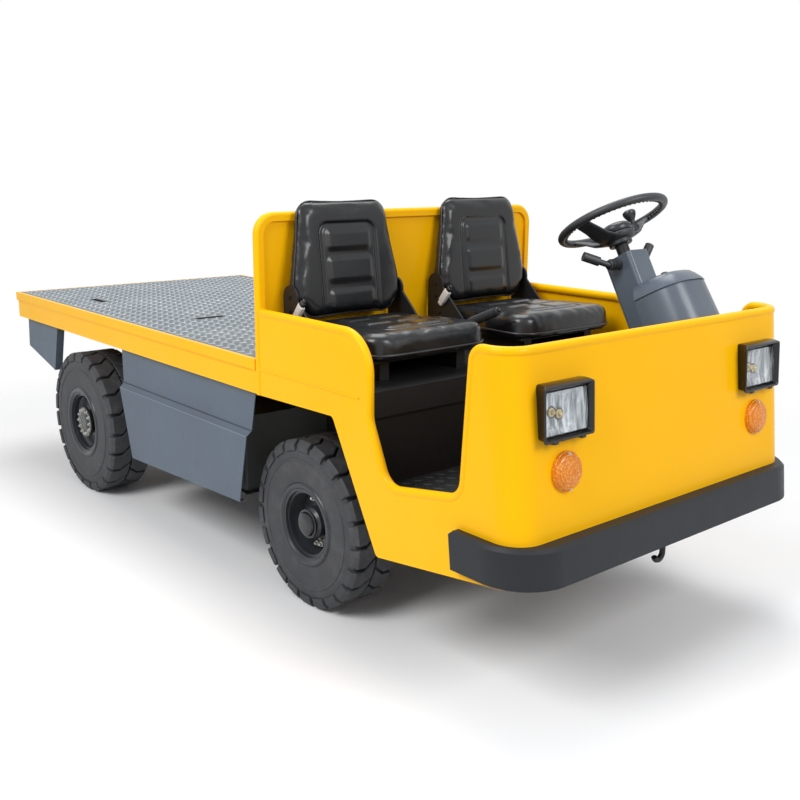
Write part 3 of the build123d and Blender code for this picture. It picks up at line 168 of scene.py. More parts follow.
def satin_paint(name, colour, shade, roughness=0.48):
    """Powder coat: fine texture with scuffs."""
    finish = Finish(name)
    grain = finish.noise(900, 2)
    scuff = finish.noise(26, 6, 0.72).step(0.56, 0.8)
    cloud = finish.noise(3.1, 3).step(0.3, 0.75)
    return finish.close(
        Base_Color=finish.blend(cloud * 0.5 + scuff * 0.3, colour, shade),
        Roughness=scuff * 0.16 + finish.noise(14, 3) * 0.12 + (roughness - 0.06),
        Specular_IOR_Level=0.3,
        Normal=finish.bump(grain, 0.16, 0.0006),
    )


def plate_steel(name, colour, worn, roughness=0.42):
    """Rolled plate, rubbed bright in patches."""
    finish = Finish(name)
    rubbed = finish.noise(5.5, 6, 0.68).step(0.42, 0.7)
    streak = finish.noise(60, 4, 0.6, (1, 0.12, 1))
    return finish.close(
        Base_Color=finish.blend(rubbed * 0.3 + streak * 0.25, colour, worn),
        Metallic=0.4,
        Roughness=streak * 0.2 + (roughness - rubbed * 0.1),
        Normal=finish.bump(finish.noise(340, 3), 0.2, 0.0006),
    )


def rubber(name, colour, dusty):
    """Tyre rubber with dust in noise patches."""
    finish = Finish(name)
    dust = finish.noise(17, 6, 0.7).step(0.42, 0.78)
    grain = finish.noise(620, 3)
    return finish.close(
        Base_Color=finish.blend(dust * 0.75, colour, dusty),
        Roughness=dust * 0.15 + 0.58,
        Specular_IOR_Level=0.35,
        Normal=finish.bump(grain, 0.25, 0.0008),
    )


def vinyl(name, colour, worn):
    """Seat cover: small rounded grain with a soft sheen."""
    finish = Finish(name)
    grain = finish.cells(620) * 0.7 + finish.noise(1300, 2) * 0.3
    rub = finish.noise(7, 4).step(0.4, 0.75)
    return finish.close(
        Base_Color=finish.blend(rub * 0.5, colour, worn),
        Roughness=rub * 0.08 + grain * 0.08 + 0.26,
        Coat_Weight=0.4,
        Coat_Roughness=0.16,
        Specular_IOR_Level=0.28,
        Normal=finish.bump(grain, 0.22, 0.0007),
    )


def moulded(name, colour, shade, roughness=0.45):
    """Injection-moulded plastic with a fine spark texture."""
    finish = Finish(name)
    spark = finish.noise(1100, 2)
    cloud = finish.noise(6, 3)
    return finish.close(
        Base_Color=finish.blend(cloud.step(0.35, 0.7) * 0.6, colour, shade),
        Roughness=cloud * 0.12 + (roughness - 0.06),
        Normal=finish.bump(spark, 0.12, 0.0005),
    )


def casting(name, colour, rust):
    """Rough casting with oily stains."""
    finish = Finish(name)
    stain = finish.noise(12, 6, 0.7).step(0.45, 0.72)
    return finish.close(
        Base_Color=finish.blend(stain * 0.6, colour, rust),
        Roughness=stain * 0.2 + 0.55,
        Normal=finish.bump(finish.noise(260, 4), 0.4, 0.0015),
    )


def plated(name, colour):
    """Zinc-plated fastener."""
    finish = Finish(name)
    tarnish = finish.noise(90, 4).step(0.4, 0.75)
    return finish.close(
        Base_Color=finish.blend(tarnish * 0.5, colour, rgb(120, 116, 104)),
        Metallic=0.6,
        Roughness=tarnish * 0.2 + 0.3,
    )


def lens(name, colour, transmission, rib_scale, roughness=0.08, flute_depth=0.35):
    """Pressed lamp lens with vertical flutes."""
    finish = Finish(name)
    flute = finish.make("ShaderNodeTexWave", {"wave_type": "BANDS", "bands_direction": "Y"},
                        {"Vector": finish.place, "Scale": rib_scale})
    return finish.close(
        Base_Color=colour,
        Roughness=flute * 0.06 + roughness,
        Transmission_Weight=transmission,
        IOR=LENS_IOR,
        Normal=finish.bump(flute, flute_depth, 0.002),
    )


def faceted_lens(name, colour, deep, transmission, roughness):
    """Moulded lamp lens with small facets inside."""
    finish = Finish(name)
    facet = finish.cells(150).step(0.12, 0.62)
    return finish.close(
        Base_Color=finish.blend(facet * 0.85, colour, deep),
        Roughness=facet * 0.06 + roughness,
        Transmission_Weight=transmission,
        IOR=LENS_IOR,
        Normal=finish.bump(facet, 0.45, 0.002),
    )


def mirror_bowl(name):
    """Lamp reflector: bright and dark upright streaks painted into its colour as reflections."""
    finish = Finish(name)
    # Painted reflection: upright streaks that lighten and darken the metal's colour
    streak = finish.noise(70, 3, 0.6, (1, 1, 0.16)).step(0.3, 0.74)
    return finish.close(
        Base_Color=finish.blend(streak, rgb(118, 123, 128), rgb(236, 238, 240)),
        Metallic=1.0,
        Roughness=streak * 0.06 + 0.07,
    )


YELLOW = gloss_paint("yellow_enamel", rgb(254, 189, 5), rgb(252, 181, 5))
SLATE = satin_paint("slate_powder_coat", rgb(87, 99, 112), rgb(80, 90, 102))
# Fold beads: the light slate paints the highlight on the skirts' lower bend, the dark slate paints the shadow
# at the upper bend
FOLD_HIGHLIGHT = satin_paint("slate_fold_painted_highlight", rgb(122, 135, 148), rgb(108, 120, 132))
FOLD_SHADE = satin_paint("slate_fold_shade", rgb(46, 52, 60), rgb(40, 45, 52))
BUMPER = satin_paint("bumper_coat", rgb(32, 35, 40), rgb(27, 30, 34))
BLACK = satin_paint("black_chassis_paint", rgb(24, 24, 26), rgb(34, 33, 34))
DECK = plate_steel("deck_plate_steel", rgb(92, 99, 105), rgb(118, 125, 130))
# Studs lighter than the plate they stand on: painted highlight on their raised tops
DECK_STUD_HIGHLIGHT = plate_steel("deck_stud_steel_painted_highlight", rgb(146, 154, 159), rgb(176, 182, 186), 0.36)
FLOOR = plate_steel("cab_floor_plate", rgb(34, 35, 37), rgb(58, 59, 60))
BATTERY = satin_paint("battery_case_paint", rgb(84, 86, 86), rgb(72, 74, 74))
AXLE = casting("axle_casting", rgb(40, 40, 42), rgb(58, 51, 46))
MOTOR = satin_paint("motor_enamel", rgb(58, 62, 66), rgb(48, 51, 54))
TYRE = rubber("tyre_rubber", rgb(56, 57, 60), rgb(84, 84, 86))
RIM = gloss_paint("rim_paint", rgb(46, 49, 53), rgb(36, 38, 41), 0.24, 0.4)
HUB = gloss_paint("hub_paint", rgb(32, 33, 35), rgb(46, 46, 48), 0.14, 0.45)
VINYL = vinyl("seat_vinyl", rgb(15, 17, 20), rgb(23, 26, 30))
PIPING = vinyl("seat_piping", rgb(30, 31, 34), rgb(48, 50, 53))
SHELL = moulded("seat_shell_plastic", rgb(30, 24, 27), rgb(40, 34, 36), 0.5)
CONTROL = moulded("control_plastic", rgb(44, 47, 51), rgb(36, 38, 41))
HORN = moulded("horn_plastic", rgb(38, 41, 45), rgb(32, 34, 38), 0.3)
POD = moulded("dash_plastic", rgb(86, 96, 108), rgb(74, 83, 94), 0.27)
LAMP_BODY = moulded("lamp_body_plastic", rgb(20, 19, 20), rgb(30, 27, 27), 0.2)
BUCKLE = moulded("buckle_plastic", rgb(205, 204, 202), rgb(186, 184, 182), 0.35)
# Near black: rubber grommets whose closed floors paint the shade inside the hand slots
LINER_AND_SLOT_SHADE = moulded("slot_liner_rubber_and_painted_shade", rgb(9, 9, 10), rgb(15, 15, 16), 0.7)
BUTTON = moulded("buckle_button", rgb(26, 26, 28), rgb(36, 36, 38), 0.4)
CLEAR = lens("clear_lens", rgb(244, 247, 249), 1.0, 34.0, 0.02, 0.03)
AMBER = faceted_lens("amber_lens", rgb(254, 178, 40), rgb(232, 122, 16), 0.2, 0.14)
RED = lens("red_lens", rgb(190, 16, 14), 0.4, 60.0, 0.12)
BULB = lens("lamp_bulb_glass", rgb(255, 226, 150), 0.2, 80.0, 0.06)
BOWL = mirror_bowl("lamp_reflector_painted_reflections")
ZINC = plated("zinc_fastener", rgb(206, 204, 196))

node_finish = {
    "bulkhead": YELLOW, "deck_frame": YELLOW, "front_panel": YELLOW,
    "side_panel_left": YELLOW, "side_panel_right": YELLOW,
    "side_skirts": SLATE, "rear_mudguards": SLATE, "front_bumper": BUMPER,
    "dash_pod": POD, "column_shroud": POD,
    "deck_plate": DECK, "cab_floor": FLOOR, "battery_pack": BATTERY,
    "front_axle": AXLE, "rear_axle": AXLE, "knuckle_left": AXLE, "knuckle_right": AXLE, "tie_rod": AXLE,
    "drive_motor": MOTOR,
    "steering_wheel": CONTROL, "column_levers": CONTROL, "parking_brake_lever": CONTROL,
    "headlamp_housings": LAMP_BODY, "headlamp_lenses": CLEAR, "turn_lamps": AMBER, "tail_lamps": RED,
    "seat_buckles": BUCKLE,
}
for name, node in nodes.items():
    finish = node_finish.get(name, BLACK)
    if name.startswith("tyre"):
        finish = TYRE
    elif name.startswith("rim"):
        finish = RIM
    node.data.materials.clear()
    node.data.materials.append(finish)


# Mesh helpers

HANDS = (("right", -1), ("left", 1))


def piece(name, mesh, finish, body="chassis", stands_for=None):
    """A finished object at the origin that rides on a body, and may stand for a CAD node."""
    thing = bpy.data.objects.new(name, mesh)
    bpy.context.scene.collection.objects.link(thing)
    mesh.materials.clear()
    mesh.materials.append(finish)
    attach(thing, body)
    if stands_for:
        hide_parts(stands_for)
    return thing


def smooth(mesh, angle):
    """Smooth shading with creases kept sharp."""
    for polygon in mesh.polygons:
        polygon.use_smooth = True
    mesh.set_sharp_from_angle(angle=math.radians(angle))


def mesh_of(build, name, place=None, crease=35):
    """Mesh from a bmesh, with its faces turned outward."""
    bmesh.ops.remove_doubles(build, verts=build.verts, dist=1e-6)
    bmesh.ops.recalc_face_normals(build, faces=build.faces)
    if place:
        build.transform(place)
    mesh = bpy.data.meshes.new(name)
    build.to_mesh(mesh)
    build.free()
    smooth(mesh, crease)
    return mesh


def lathe(profile, steps, place=None, crease=35):
    """A profile of (along, radius) points turned about local X."""
    build = bmesh.new()
    ring = [build.verts.new((along, 0, radius)) for along, radius in profile]
    edges = [build.edges.new(pair) for pair in zip(ring, ring[1:])]
    bmesh.ops.spin(build, geom=ring + edges, cent=(0, 0, 0), axis=(1, 0, 0), angle=2 * math.pi,
                   steps=steps, use_merge=True)
    return mesh_of(build, "lathe", place, crease)


def slab(size, counts, face, back, place):
    """Closed slab over a rectangle: face(u, v) gives the front's height, back the flat rear's."""
    build = bmesh.new()
    across, up = counts
    sheets = []
    for height in (face, lambda u, v: back):
        sheets.append([[build.verts.new((size[0] * (i / across - 0.5), size[1] * (j / up - 0.5),
                                         height(2 * i / across - 1, 2 * j / up - 1)))
                        for j in range(up + 1)] for i in range(across + 1)])
    for rows in sheets:
        for i in range(across):
            for j in range(up):
                build.faces.new((rows[i][j], rows[i + 1][j], rows[i + 1][j + 1], rows[i][j + 1]))
    rims = [[rows[i][0] for i in range(across + 1)] + [rows[across][j] for j in range(1, up + 1)]
            + [rows[i][up] for i in range(across - 1, -1, -1)] + [rows[0][j] for j in range(up - 1, 0, -1)]
            for rows in sheets]
    for k in range(len(rims[0])):
        build.faces.new((rims[0][k - 1], rims[0][k], rims[1][k], rims[1][k - 1]))
    return mesh_of(build, "slab", place)


def block(size, rounding, place=None, segments=2):
    """Block with rounded edges."""
    build = bmesh.new()
    bmesh.ops.create_cube(build, size=1.0, matrix=Matrix.Diagonal((*size, 1)))
    bmesh.ops.bevel(build, geom=build.edges[:], offset=rounding, segments=segments, profile=0.5,
                    affect="EDGES")
    return mesh_of(build, "block", place, 50)


def bead_tube(points, radius, closed=True):
    """Round bead that follows points."""
    curve = bpy.data.curves.new("bead", "CURVE")
    curve.dimensions = "3D"
    curve.bevel_depth = radius
    curve.bevel_resolution = 2
    curve.use_fill_caps = not closed
    spline = curve.splines.new("POLY")
    spline.points.add(len(points) - 1)
    for point, place in zip(spline.points, points):
        point.co = (*place, 1)
    spline.use_cyclic_u = closed
    thing = bpy.data.objects.new("bead", curve)
    mesh = bpy.data.meshes.new_from_object(thing)
    bpy.data.objects.remove(thing)
    smooth(mesh, 60)
    return mesh


CORNER_STEPS = 5


def rounded_loop(width, height, corner, out, lean=0.0, rise=0.0):
    """Rounded rectangle at a height along local Z; lean carries its top forward, rise lifts it."""
    points = []
    for quarter in range(4):
        middle = math.pi / 2 * (quarter + 0.5)
        for n in range(CORNER_STEPS + 1):
            turn = math.pi / 2 * (quarter + n / CORNER_STEPS)
            x = math.copysign(width / 2 - corner, math.cos(middle)) + corner * math.cos(turn)
            y = math.copysign(height / 2 - corner, math.sin(middle)) + corner * math.sin(turn)
            points.append(Vector((x, y + rise, out + lean * y / height)))
    return points


def loft(loops, place, crease=35):
    """Closed skin through loops of equal count, capped at both ends."""
    build = bmesh.new()
    rings = [[build.verts.new(point) for point in loop] for loop in loops]
    for near, far in zip(rings, rings[1:]):
        for n in range(len(near)):
            build.faces.new((near[n - 1], near[n], far[n], far[n - 1]))
    build.faces.new(rings[0])
    build.faces.new(rings[-1])
    return mesh_of(build, "loft", place, crease)


def joined(meshes):
    """One mesh from several."""
    build = bmesh.new()
    for mesh in meshes:
        build.from_mesh(mesh)
    result = bpy.data.meshes.new("joined")
    build.to_mesh(result)
    build.free()
    return result


# Repeats

def make_set_out():
    """Node tree that puts a shape on each point, turned and stretched by the point's own values."""
    tree = bpy.data.node_groups.new("set_out", "GeometryNodeTree")
    inputs = [("Points", "NodeSocketGeometry"), ("Shape", "NodeSocketObject"),
              ("Size", "NodeSocketFloat"), ("Finish", "NodeSocketMaterial")]
    for label, kind in inputs:
        tree.interface.new_socket(label, in_out="INPUT", socket_type=kind)
    tree.interface.new_socket("Pieces", in_out="OUTPUT", socket_type="NodeSocketGeometry")
    graph = Graph(tree)
    given = {label: graph.make("NodeGroupInput", out=label) for label, kind in inputs}
    shape = graph.make("GeometryNodeObjectInfo", {}, {"Object": given["Shape"]}, out="Geometry")
    turn = graph.make("GeometryNodeInputNamedAttribute", {"data_type": "FLOAT_VECTOR"}, {"Name": "turn"})
    stretch = graph.make("GeometryNodeInputNamedAttribute", {"data_type": "FLOAT_VECTOR"},
                         {"Name": "stretch"})
    size = graph.make("ShaderNodeVectorMath", {"operation": "SCALE"}, {0: stretch, "Scale": given["Size"]})
    placed = graph.make("GeometryNodeInstanceOnPoints", {},
                        {"Points": given["Points"], "Instance": shape, "Rotation": turn, "Scale": size})
    real = graph.make("GeometryNodeRealizeInstances", {}, {"Geometry": placed})
    dressed = graph.make("GeometryNodeSetMaterial", {}, {"Geometry": real, "Material": given["Finish"]})
    graph.make("NodeGroupOutput", {}, {"Pieces": dressed})
    return tree


SET_OUT = make_set_out()


def set_out(shape, places, finish, size=1.0):
    """Mesh with a copy of a shape at each place, given as a matrix."""
    points = bpy.data.meshes.new("points")
    points.from_pydata([place.translation for place in places], [], [])
    turn = points.attributes.new("turn", "FLOAT_VECTOR", "POINT")
    stretch = points.attributes.new("stretch", "FLOAT_VECTOR", "POINT")
    for row, place in enumerate(places):
        turn.data[row].vector = place.to_euler()
        stretch.data[row].vector = place.to_scale()
    source = bpy.data.objects.new("shape", shape)
    maker = bpy.data.objects.new("maker", points)
    bpy.context.scene.collection.objects.link(maker)
    modifier = maker.modifiers.new("set_out", "NODES")
    modifier.node_group = SET_OUT
    given = {"Shape": source, "Size": size, "Finish": finish}
    for socket in SET_OUT.interface.items_tree:
        if socket.name in given:
            modifier[socket.identifier] = given[socket.name]
    mesh = bpy.data.meshes.new_from_object(maker.evaluated_get(bpy.context.evaluated_depsgraph_get()))
    bpy.data.objects.remove(maker)
    bpy.data.objects.remove(source)
    return mesh


def repeated(name, shape, places, finish, body="chassis"):
    """A piece made of copies of one shape."""
    piece(name, set_out(shape, places, finish), finish, body)


def shift(x, y, z):
    return Matrix.Translation((x, y, z))


def spun(angle, axis):
    return Matrix.Rotation(angle, 4, axis)


X_TO_Z = spun(-math.pi / 2, "Y")
Z_TO_X = spun(math.pi / 2, "Y")


FASTENER_TAPER = 0.94


def fastener(radius, height, stud):
    """Hexagon on a washer with a stud end, along local Z."""
    washer = height * 0.2
    # sides, radius, foot, top
    stages = [(12, radius * 1.3, 0, washer), (6, radius, washer, height),
              (8, radius * 0.5, height, height + stud)]
    build = bmesh.new()
    for sides, reach, foot, top in stages:
        bmesh.ops.create_cone(build, cap_ends=True, segments=sides, radius1=reach,
                              radius2=reach * FASTENER_TAPER, depth=top - foot,
                              matrix=shift(0, 0, (foot + top) / 2))
    return mesh_of(build, "fastener", crease=25)


# Wheels

LUG_COUNT = 22
LUG_PITCH = 2 * math.pi / LUG_COUNT
LUG_GROOVE = 0.019
LUG_NARROW = 0.009
LUG_LEAN = 0.42
LUG_DEPTH = 0.016
LUG_ROOT = 0.034
LUG_STEPS = 4
LUG_SINK = 0.003
LUG_BEVEL = 0.0022
SHOULDER_RUN = 0.011
SHOULDER_DROP = 0.013
RING_GAP = 0.0035


def border(rows):
    """Outline of a grid of vertices, in order."""
    return rows[0] + [row[-1] for row in rows[1:-1]] + rows[-1][::-1] + [row[0] for row in rows[-2:0:-1]]


def lug(radius, width, ring, lean):
    """Tread block from the middle groove to the shoulder; ring is 1 outside, -1 inside."""
    half = width / 2
    floor = radius - LUG_DEPTH - LUG_SINK
    # along the axle, outer height, inner height, groove width, lean in pitches
    stations = [
        (RING_GAP, radius, floor, LUG_NARROW, lean),
        (half * 0.48, radius, floor, LUG_NARROW * 1.3, 0),
        (half - SHOULDER_RUN, radius, radius - LUG_ROOT, LUG_GROOVE * 0.8, 0),
        (half - 0.0005, radius - SHOULDER_DROP, radius - LUG_ROOT, LUG_GROOVE, 0),
    ]
    build = bmesh.new()
    tops, feet = [], []
    for along, top, foot, groove, leant in stations:
        spread = LUG_PITCH / 2 - groove / (2 * radius)
        for rows, height in ((tops, top), (feet, foot)):
            angles = [leant * LUG_PITCH + spread * (2 * n / LUG_STEPS - 1) for n in range(LUG_STEPS + 1)]
            rows.append([build.verts.new((ring * along, height * math.sin(a), height * math.cos(a)))
                         for a in angles])
    for rows in (tops, feet):
        for near, far in zip(rows, rows[1:]):
            for n in range(LUG_STEPS):
                build.faces.new((near[n], near[n + 1], far[n + 1], far[n]))
    rim_top, rim_foot = border(tops), border(feet)
    for n in range(len(rim_top)):
        build.faces.new((rim_top[n - 1], rim_top[n], rim_foot[n], rim_foot[n - 1]))
    edges = [build.edges.get((rim_top[n - 1], rim_top[n])) for n in range(len(rim_top))]
    bmesh.ops.recalc_face_normals(build, faces=build.faces)
    bmesh.ops.bevel(build, geom=edges, offset=LUG_BEVEL, segments=1, affect="EDGES")
    return mesh_of(build, "lug", crease=28)


def tyre_carcass(radius, width, rim):
    """Profile of the tyre under its lugs, with bead, sidewall rib and buttress."""
    half = width / 2
    floor = radius - LUG_DEPTH
    outer = [
        (half - 0.012, rim), (half - 0.006, rim + 0.016), (half - 0.0015, rim + 0.034),
        (half, rim + 0.055), (half - 0.0005, radius * 0.752), (half + 0.0018, radius * 0.760),
        (half + 0.0018, radius * 0.776), (half - 0.0012, radius * 0.786), (half - 0.0022, radius * 0.84),
        (half - 0.006, floor - 0.016), (half - 0.010, floor - 0.003), (half - 0.020, floor),
    ]
    inner = [(-along, height) for along, height in reversed(outer)]
    return outer + inner + outer[:1]


def rim_lip(width, rim):
    """Rolled outer flange of the rim, with its step and lock ring."""
    face = width / 2
    return [
        (face - 0.030, rim - 0.0065), (face - 0.010, rim - 0.0065), (face - 0.007, rim - 0.001),
        (face - 0.003, rim + 0.002), (face + 0.001, rim + 0.009), (face + 0.001, rim + 0.014),
        (face - 0.002, rim + 0.019), (face - 0.006, rim + 0.021), (face - 0.013, rim + 0.018),
        (face - 0.013, rim - 0.002), (face - 0.030, rim - 0.004), (face - 0.030, rim - 0.0065),
    ]


TYRE_STEPS, LIP_STEPS, HUB_STEPS = 88, 72, 40
HUB_FACE = {"front": 0.062, "rear": 0.078}
# Domed cap in front, flanged hub behind
hub_profile = {
    "front": [
        (0.0, 0.0462), (0.004, 0.0462), (0.005, 0.040), (0.008, 0.0395), (0.014, 0.036), (0.0175, 0.028),
        (0.0192, 0.016), (0.0198, 0.004), (0.0198, 0.0),
    ],
    "rear": [
        (-0.012, 0.030), (-0.012, 0.062), (-0.010, 0.0645), (-0.002, 0.0645), (0.0, 0.0625), (0.0, 0.038),
        (0.003, 0.0365), (0.003, 0.030), (0.0045, 0.028), (0.0045, 0.0),
    ],
}
# radius, height, stud end
nut_size = {"front": (0.0100, 0.016, 0.008), "rear": (0.0062, 0.007, 0.003)}
NUT_RING = {"front": 0.074, "rear": 0.0515}
NUT_FACE = {"front": 0.012, "rear": HUB_FACE["rear"] - 0.001}
NUT_FIRST_TURN = 0.12
NUT_PAIR_TURN = 0.16
REAR_NUT_COUNT = 12


def wheel_nuts(axle, place):
    """Places of the wheel fasteners: pairs on the front disc, a full ring on the rear hub."""
    turns = [math.pi / 2 * k + pair * NUT_PAIR_TURN + NUT_FIRST_TURN for k in range(4) for pair in (-1, 1)]
    if axle == "rear":
        turns = [2 * math.pi * k / REAR_NUT_COUNT for k in range(REAR_NUT_COUNT)]
    seat = shift(NUT_FACE[axle], 0, NUT_RING[axle]) @ Z_TO_X
    return [place @ spun(turn, "X") @ seat for turn in turns]


# axle, tyre radius, tyre width, rim radius
for axle, radius, width, rim in [("front", 0.270, 0.160, 0.114), ("rear", 0.295, 0.178, 0.127)]:
    for hand, side in HANDS:
        body = f"wheel_{axle}_{hand}"
        place = shift(*joints[f"spin_{axle}_{hand}"]["pos_m"]) @ spun(side * math.pi / 2, "Z")
        outer = [place @ spun((n + 0.5) * LUG_PITCH - math.pi / 2, "X") for n in range(LUG_COUNT)]
        inner = [place @ spun(n * LUG_PITCH - math.pi / 2, "X") for n in range(LUG_COUNT)]
        tread = joined([
            lathe(tyre_carcass(radius, width, rim), TYRE_STEPS, place),
            set_out(lug(radius, width, 1, side * LUG_LEAN), outer, TYRE),
            set_out(lug(radius, width, -1, side * LUG_LEAN), inner, TYRE),
        ])
        smooth(tread, 28)
        piece(f"tyre_{axle}_{hand}_tread", tread, TYRE, body, f"tyre_{axle}_{hand}")
        lip = lathe(rim_lip(width, rim), LIP_STEPS, place)
        piece(f"rim_lip_{axle}_{hand}", lip, RIM, body)
        repeated(f"wheel_nuts_{axle}_{hand}", fastener(*nut_size[axle]), wheel_nuts(axle, place), ZINC,
                 body)
        hub = lathe(hub_profile[axle], HUB_STEPS, place @ shift(HUB_FACE[axle], 0, 0))
        piece(f"hub_cap_{axle}_{hand}", hub, HUB, body)


# Checker plate

STUD = (0.0330, 0.0125, 0.0021)
STUD_PITCH = 0.046
STUD_TOP = (0.66, 0.5)
STUD_SINK = 0.2


def tread_stud():
    """Low pointed lozenge of unit size, a few faces only."""
    build = bmesh.new()
    outline = [(0.5, 0), (0.3, 0.36), (0, 0.5), (-0.3, 0.36),
               (-0.5, 0), (-0.3, -0.36), (0, -0.5), (0.3, -0.36)]
    foot = [build.verts.new((x, y, -STUD_SINK)) for x, y in outline]
    top = [build.verts.new((x * STUD_TOP[0], y * STUD_TOP[1], 1)) for x, y in outline]
    for n in range(len(outline)):
        build.faces.new((foot[n - 1], foot[n], top[n], top[n - 1]))
    build.faces.new(top)
    build.faces.new(foot[::-1])
    return mesh_of(build, "stud", crease=20)


def plate_studs(low, high, top, keep_clear):
    """Places of the studs on a plate: two crossed sets, staggered by half a pitch."""
    places = []
    for turn, start in ((math.radians(45), 0.25), (math.radians(-45), 0.75)):
        for i in range(int((high[0] - low[0]) / STUD_PITCH)):
            for j in range(int((high[1] - low[1]) / STUD_PITCH)):
                x = low[0] + (i + start) * STUD_PITCH
                y = low[1] + (j + start) * STUD_PITCH
                if not any(x0 < x < x1 and y0 < y < y1 for x0, y0, x1, y1 in keep_clear):
                    places.append(shift(x, y, top) @ spun(turn, "Z") @ Matrix.Diagonal((*STUD, 1)))
    return places


deck_low, deck_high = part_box("deck_plate")
RIM_CLEAR = 0.006
# Hand slots: x0, y0, x1, y1 with a stud's reach round them
hand_slots = [(-1.144, -0.448, -1.006, -0.402), (-0.380, -0.357, -0.334, -0.219)]
deck_places = plate_studs((deck_low.x + RIM_CLEAR, deck_low.y + RIM_CLEAR),
                          (deck_high.x - RIM_CLEAR, deck_high.y - RIM_CLEAR), deck_high.z, hand_slots)
repeated("deck_studs", tread_stud(), deck_places, DECK_STUD_HIGHLIGHT)

# Grommet that lines a hand slot, with a flange on the plate; its closed floor in near-black rubber is painted
# shade for the open slot: length, width, corner, height
liner_sections = [
    (0.1110, 0.0180, 0.0090, 0.7460), (0.1126, 0.0196, 0.0098, 0.7480), (0.1126, 0.0196, 0.0098, 0.7761),
    (0.1216, 0.0286, 0.0143, 0.7761), (0.1210, 0.0280, 0.0140, 0.7768), (0.1104, 0.0174, 0.0087, 0.7768),
    (0.1104, 0.0174, 0.0087, 0.7490),
]
liner_places = [shift(-1.075, -0.425, 0), shift(-0.357, -0.288, 0) @ spun(math.pi / 2, "Z")]
liner_loops = [rounded_loop(*section) for section in liner_sections]
piece("hand_slot_liners", joined([loft(liner_loops, place) for place in liner_places]), LINER_AND_SLOT_SHADE)

floor_low, floor_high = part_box("cab_floor")
FLOOR_MARGIN = 0.02
FLOOR_FRONT_MARGIN = 0.07
# Feet of the column and of the pedals: x0, y0, x1, y1
floor_feet = [(1.20, 0.20, 1.46, 0.37), (1.30, 0.10, 1.44, 0.44)]
floor_places = plate_studs((floor_low.x + FLOOR_MARGIN, floor_low.y + FLOOR_MARGIN),
                           (floor_high.x - FLOOR_FRONT_MARGIN, floor_high.y - FLOOR_MARGIN),
                           floor_high.z, floor_feet)
repeated("cab_floor_studs", tread_stud(), floor_places, FLOOR)


# Beads on the skirts' joggle: the dark one at the upper bend is a painted shadow, the light one at the lower
# bend a painted highlight

SKIRT_REAR_X = -0.529
FOLD_RADIUS = 0.0016
# name, finish, out from the middle, height, front end
skirt_folds = [("skirt_upper_folds", FOLD_SHADE, 0.5802, 0.528, 0.400),
               ("skirt_lower_folds", FOLD_HIGHLIGHT, 0.5976, 0.510, 0.397)]
for name, finish, out, height, front_x in skirt_folds:
    fold_lines = [[Vector((x, side * out, height)) for x in (SKIRT_REAR_X, front_x)] for side in (-1, 1)]
    folds = joined([bead_tube(line, FOLD_RADIUS, closed=False) for line in fold_lines])
    piece(name, folds, finish)


# Seats

SEAT_Y = 0.300
PAN_TOP = 0.829
VOXEL = 0.006
PULL_IN = 0.001
SWELL_CAP = 0.010
RELAX_ROUNDS = 9
CLOTH_PRESSURE = 4.0
CLOTH_FRAMES = 20
BACK_FOOT = Vector((0.575, 0, 0.898))
BACK_LEAN = math.radians(7.5)
COVER_STRETCH = 0.024
BACK_UP = Vector((-math.sin(BACK_LEAN), 0, math.cos(BACK_LEAN)))
BACK_OUT = Vector((math.cos(BACK_LEAN), 0, math.sin(BACK_LEAN)))


def evaluated(thing):
    return bpy.data.meshes.new_from_object(thing.evaluated_get(bpy.context.evaluated_depsgraph_get()))


def normals_of(mesh):
    return [vertex.normal.copy() for vertex in mesh.vertices]


def air_filled(node):
    """Copy of a soft node's solid, remeshed, pulled in and blown up within a cap."""
    build = bmesh.new()
    build.from_mesh(nodes[node].data)
    bmesh.ops.remove_doubles(build, verts=build.verts, dist=1e-5)
    mesh = bpy.data.meshes.new("form")
    build.to_mesh(mesh)
    build.free()
    form = bpy.data.objects.new("form", mesh)
    bpy.context.scene.collection.objects.link(form)
    remesh = form.modifiers.new("remesh", "REMESH")
    remesh.mode = "VOXEL"
    remesh.voxel_size = VOXEL
    skin = evaluated(form)
    form.modifiers.remove(remesh)
    form.data = skin
    skin.materials.clear()
    for vertex, normal in zip(skin.vertices, normals_of(skin)):
        vertex.co -= normal * PULL_IN
    rest = [vertex.co.copy() for vertex in skin.vertices]
    cloth = form.modifiers.new("cloth", "CLOTH")
    cloth.settings.use_pressure = True
    cloth.settings.uniform_pressure_force = CLOTH_PRESSURE
    cloth.settings.effector_weights.gravity = 0.0
    cloth.point_cache.frame_start = 1
    cloth.point_cache.frame_end = CLOTH_FRAMES
    for frame_number in range(1, CLOTH_FRAMES + 1):
        bpy.context.scene.frame_set(frame_number)
    blown = evaluated(form)
    for vertex, start, swollen in zip(skin.vertices, rest, blown.vertices):
        step = swollen.co - start
        vertex.co = start + step * min(1.0, SWELL_CAP / max(step.length, 1e-9))
    form.modifiers.remove(cloth)
    bpy.context.scene.frame_set(1)
    relax = form.modifiers.new("relax", "SMOOTH")
    relax.factor = 0.5
    relax.iterations = RELAX_ROUNDS
    finer = form.modifiers.new("finer", "SUBSURF")
    finer.levels = 1
    finer.render_levels = 1
    full = evaluated(form)
    bpy.data.objects.remove(form)
    return full


def crease_line(distance, depth, spread):
    return depth * math.exp(-(distance / spread) ** 2)


def rounded_reach(across, along, half_across, half_along, corner):
    """Distance outside a rounded rectangle, below zero inside it."""
    u = abs(across) - half_across + corner
    v = abs(along) - half_along + corner
    return math.hypot(max(u, 0), max(v, 0)) + min(max(u, v), 0) - corner


def soft_step(value, low, high):
    t = min(1.0, max(0.0, (value - low) / (high - low)))
    return t * t * (3 - 2 * t)


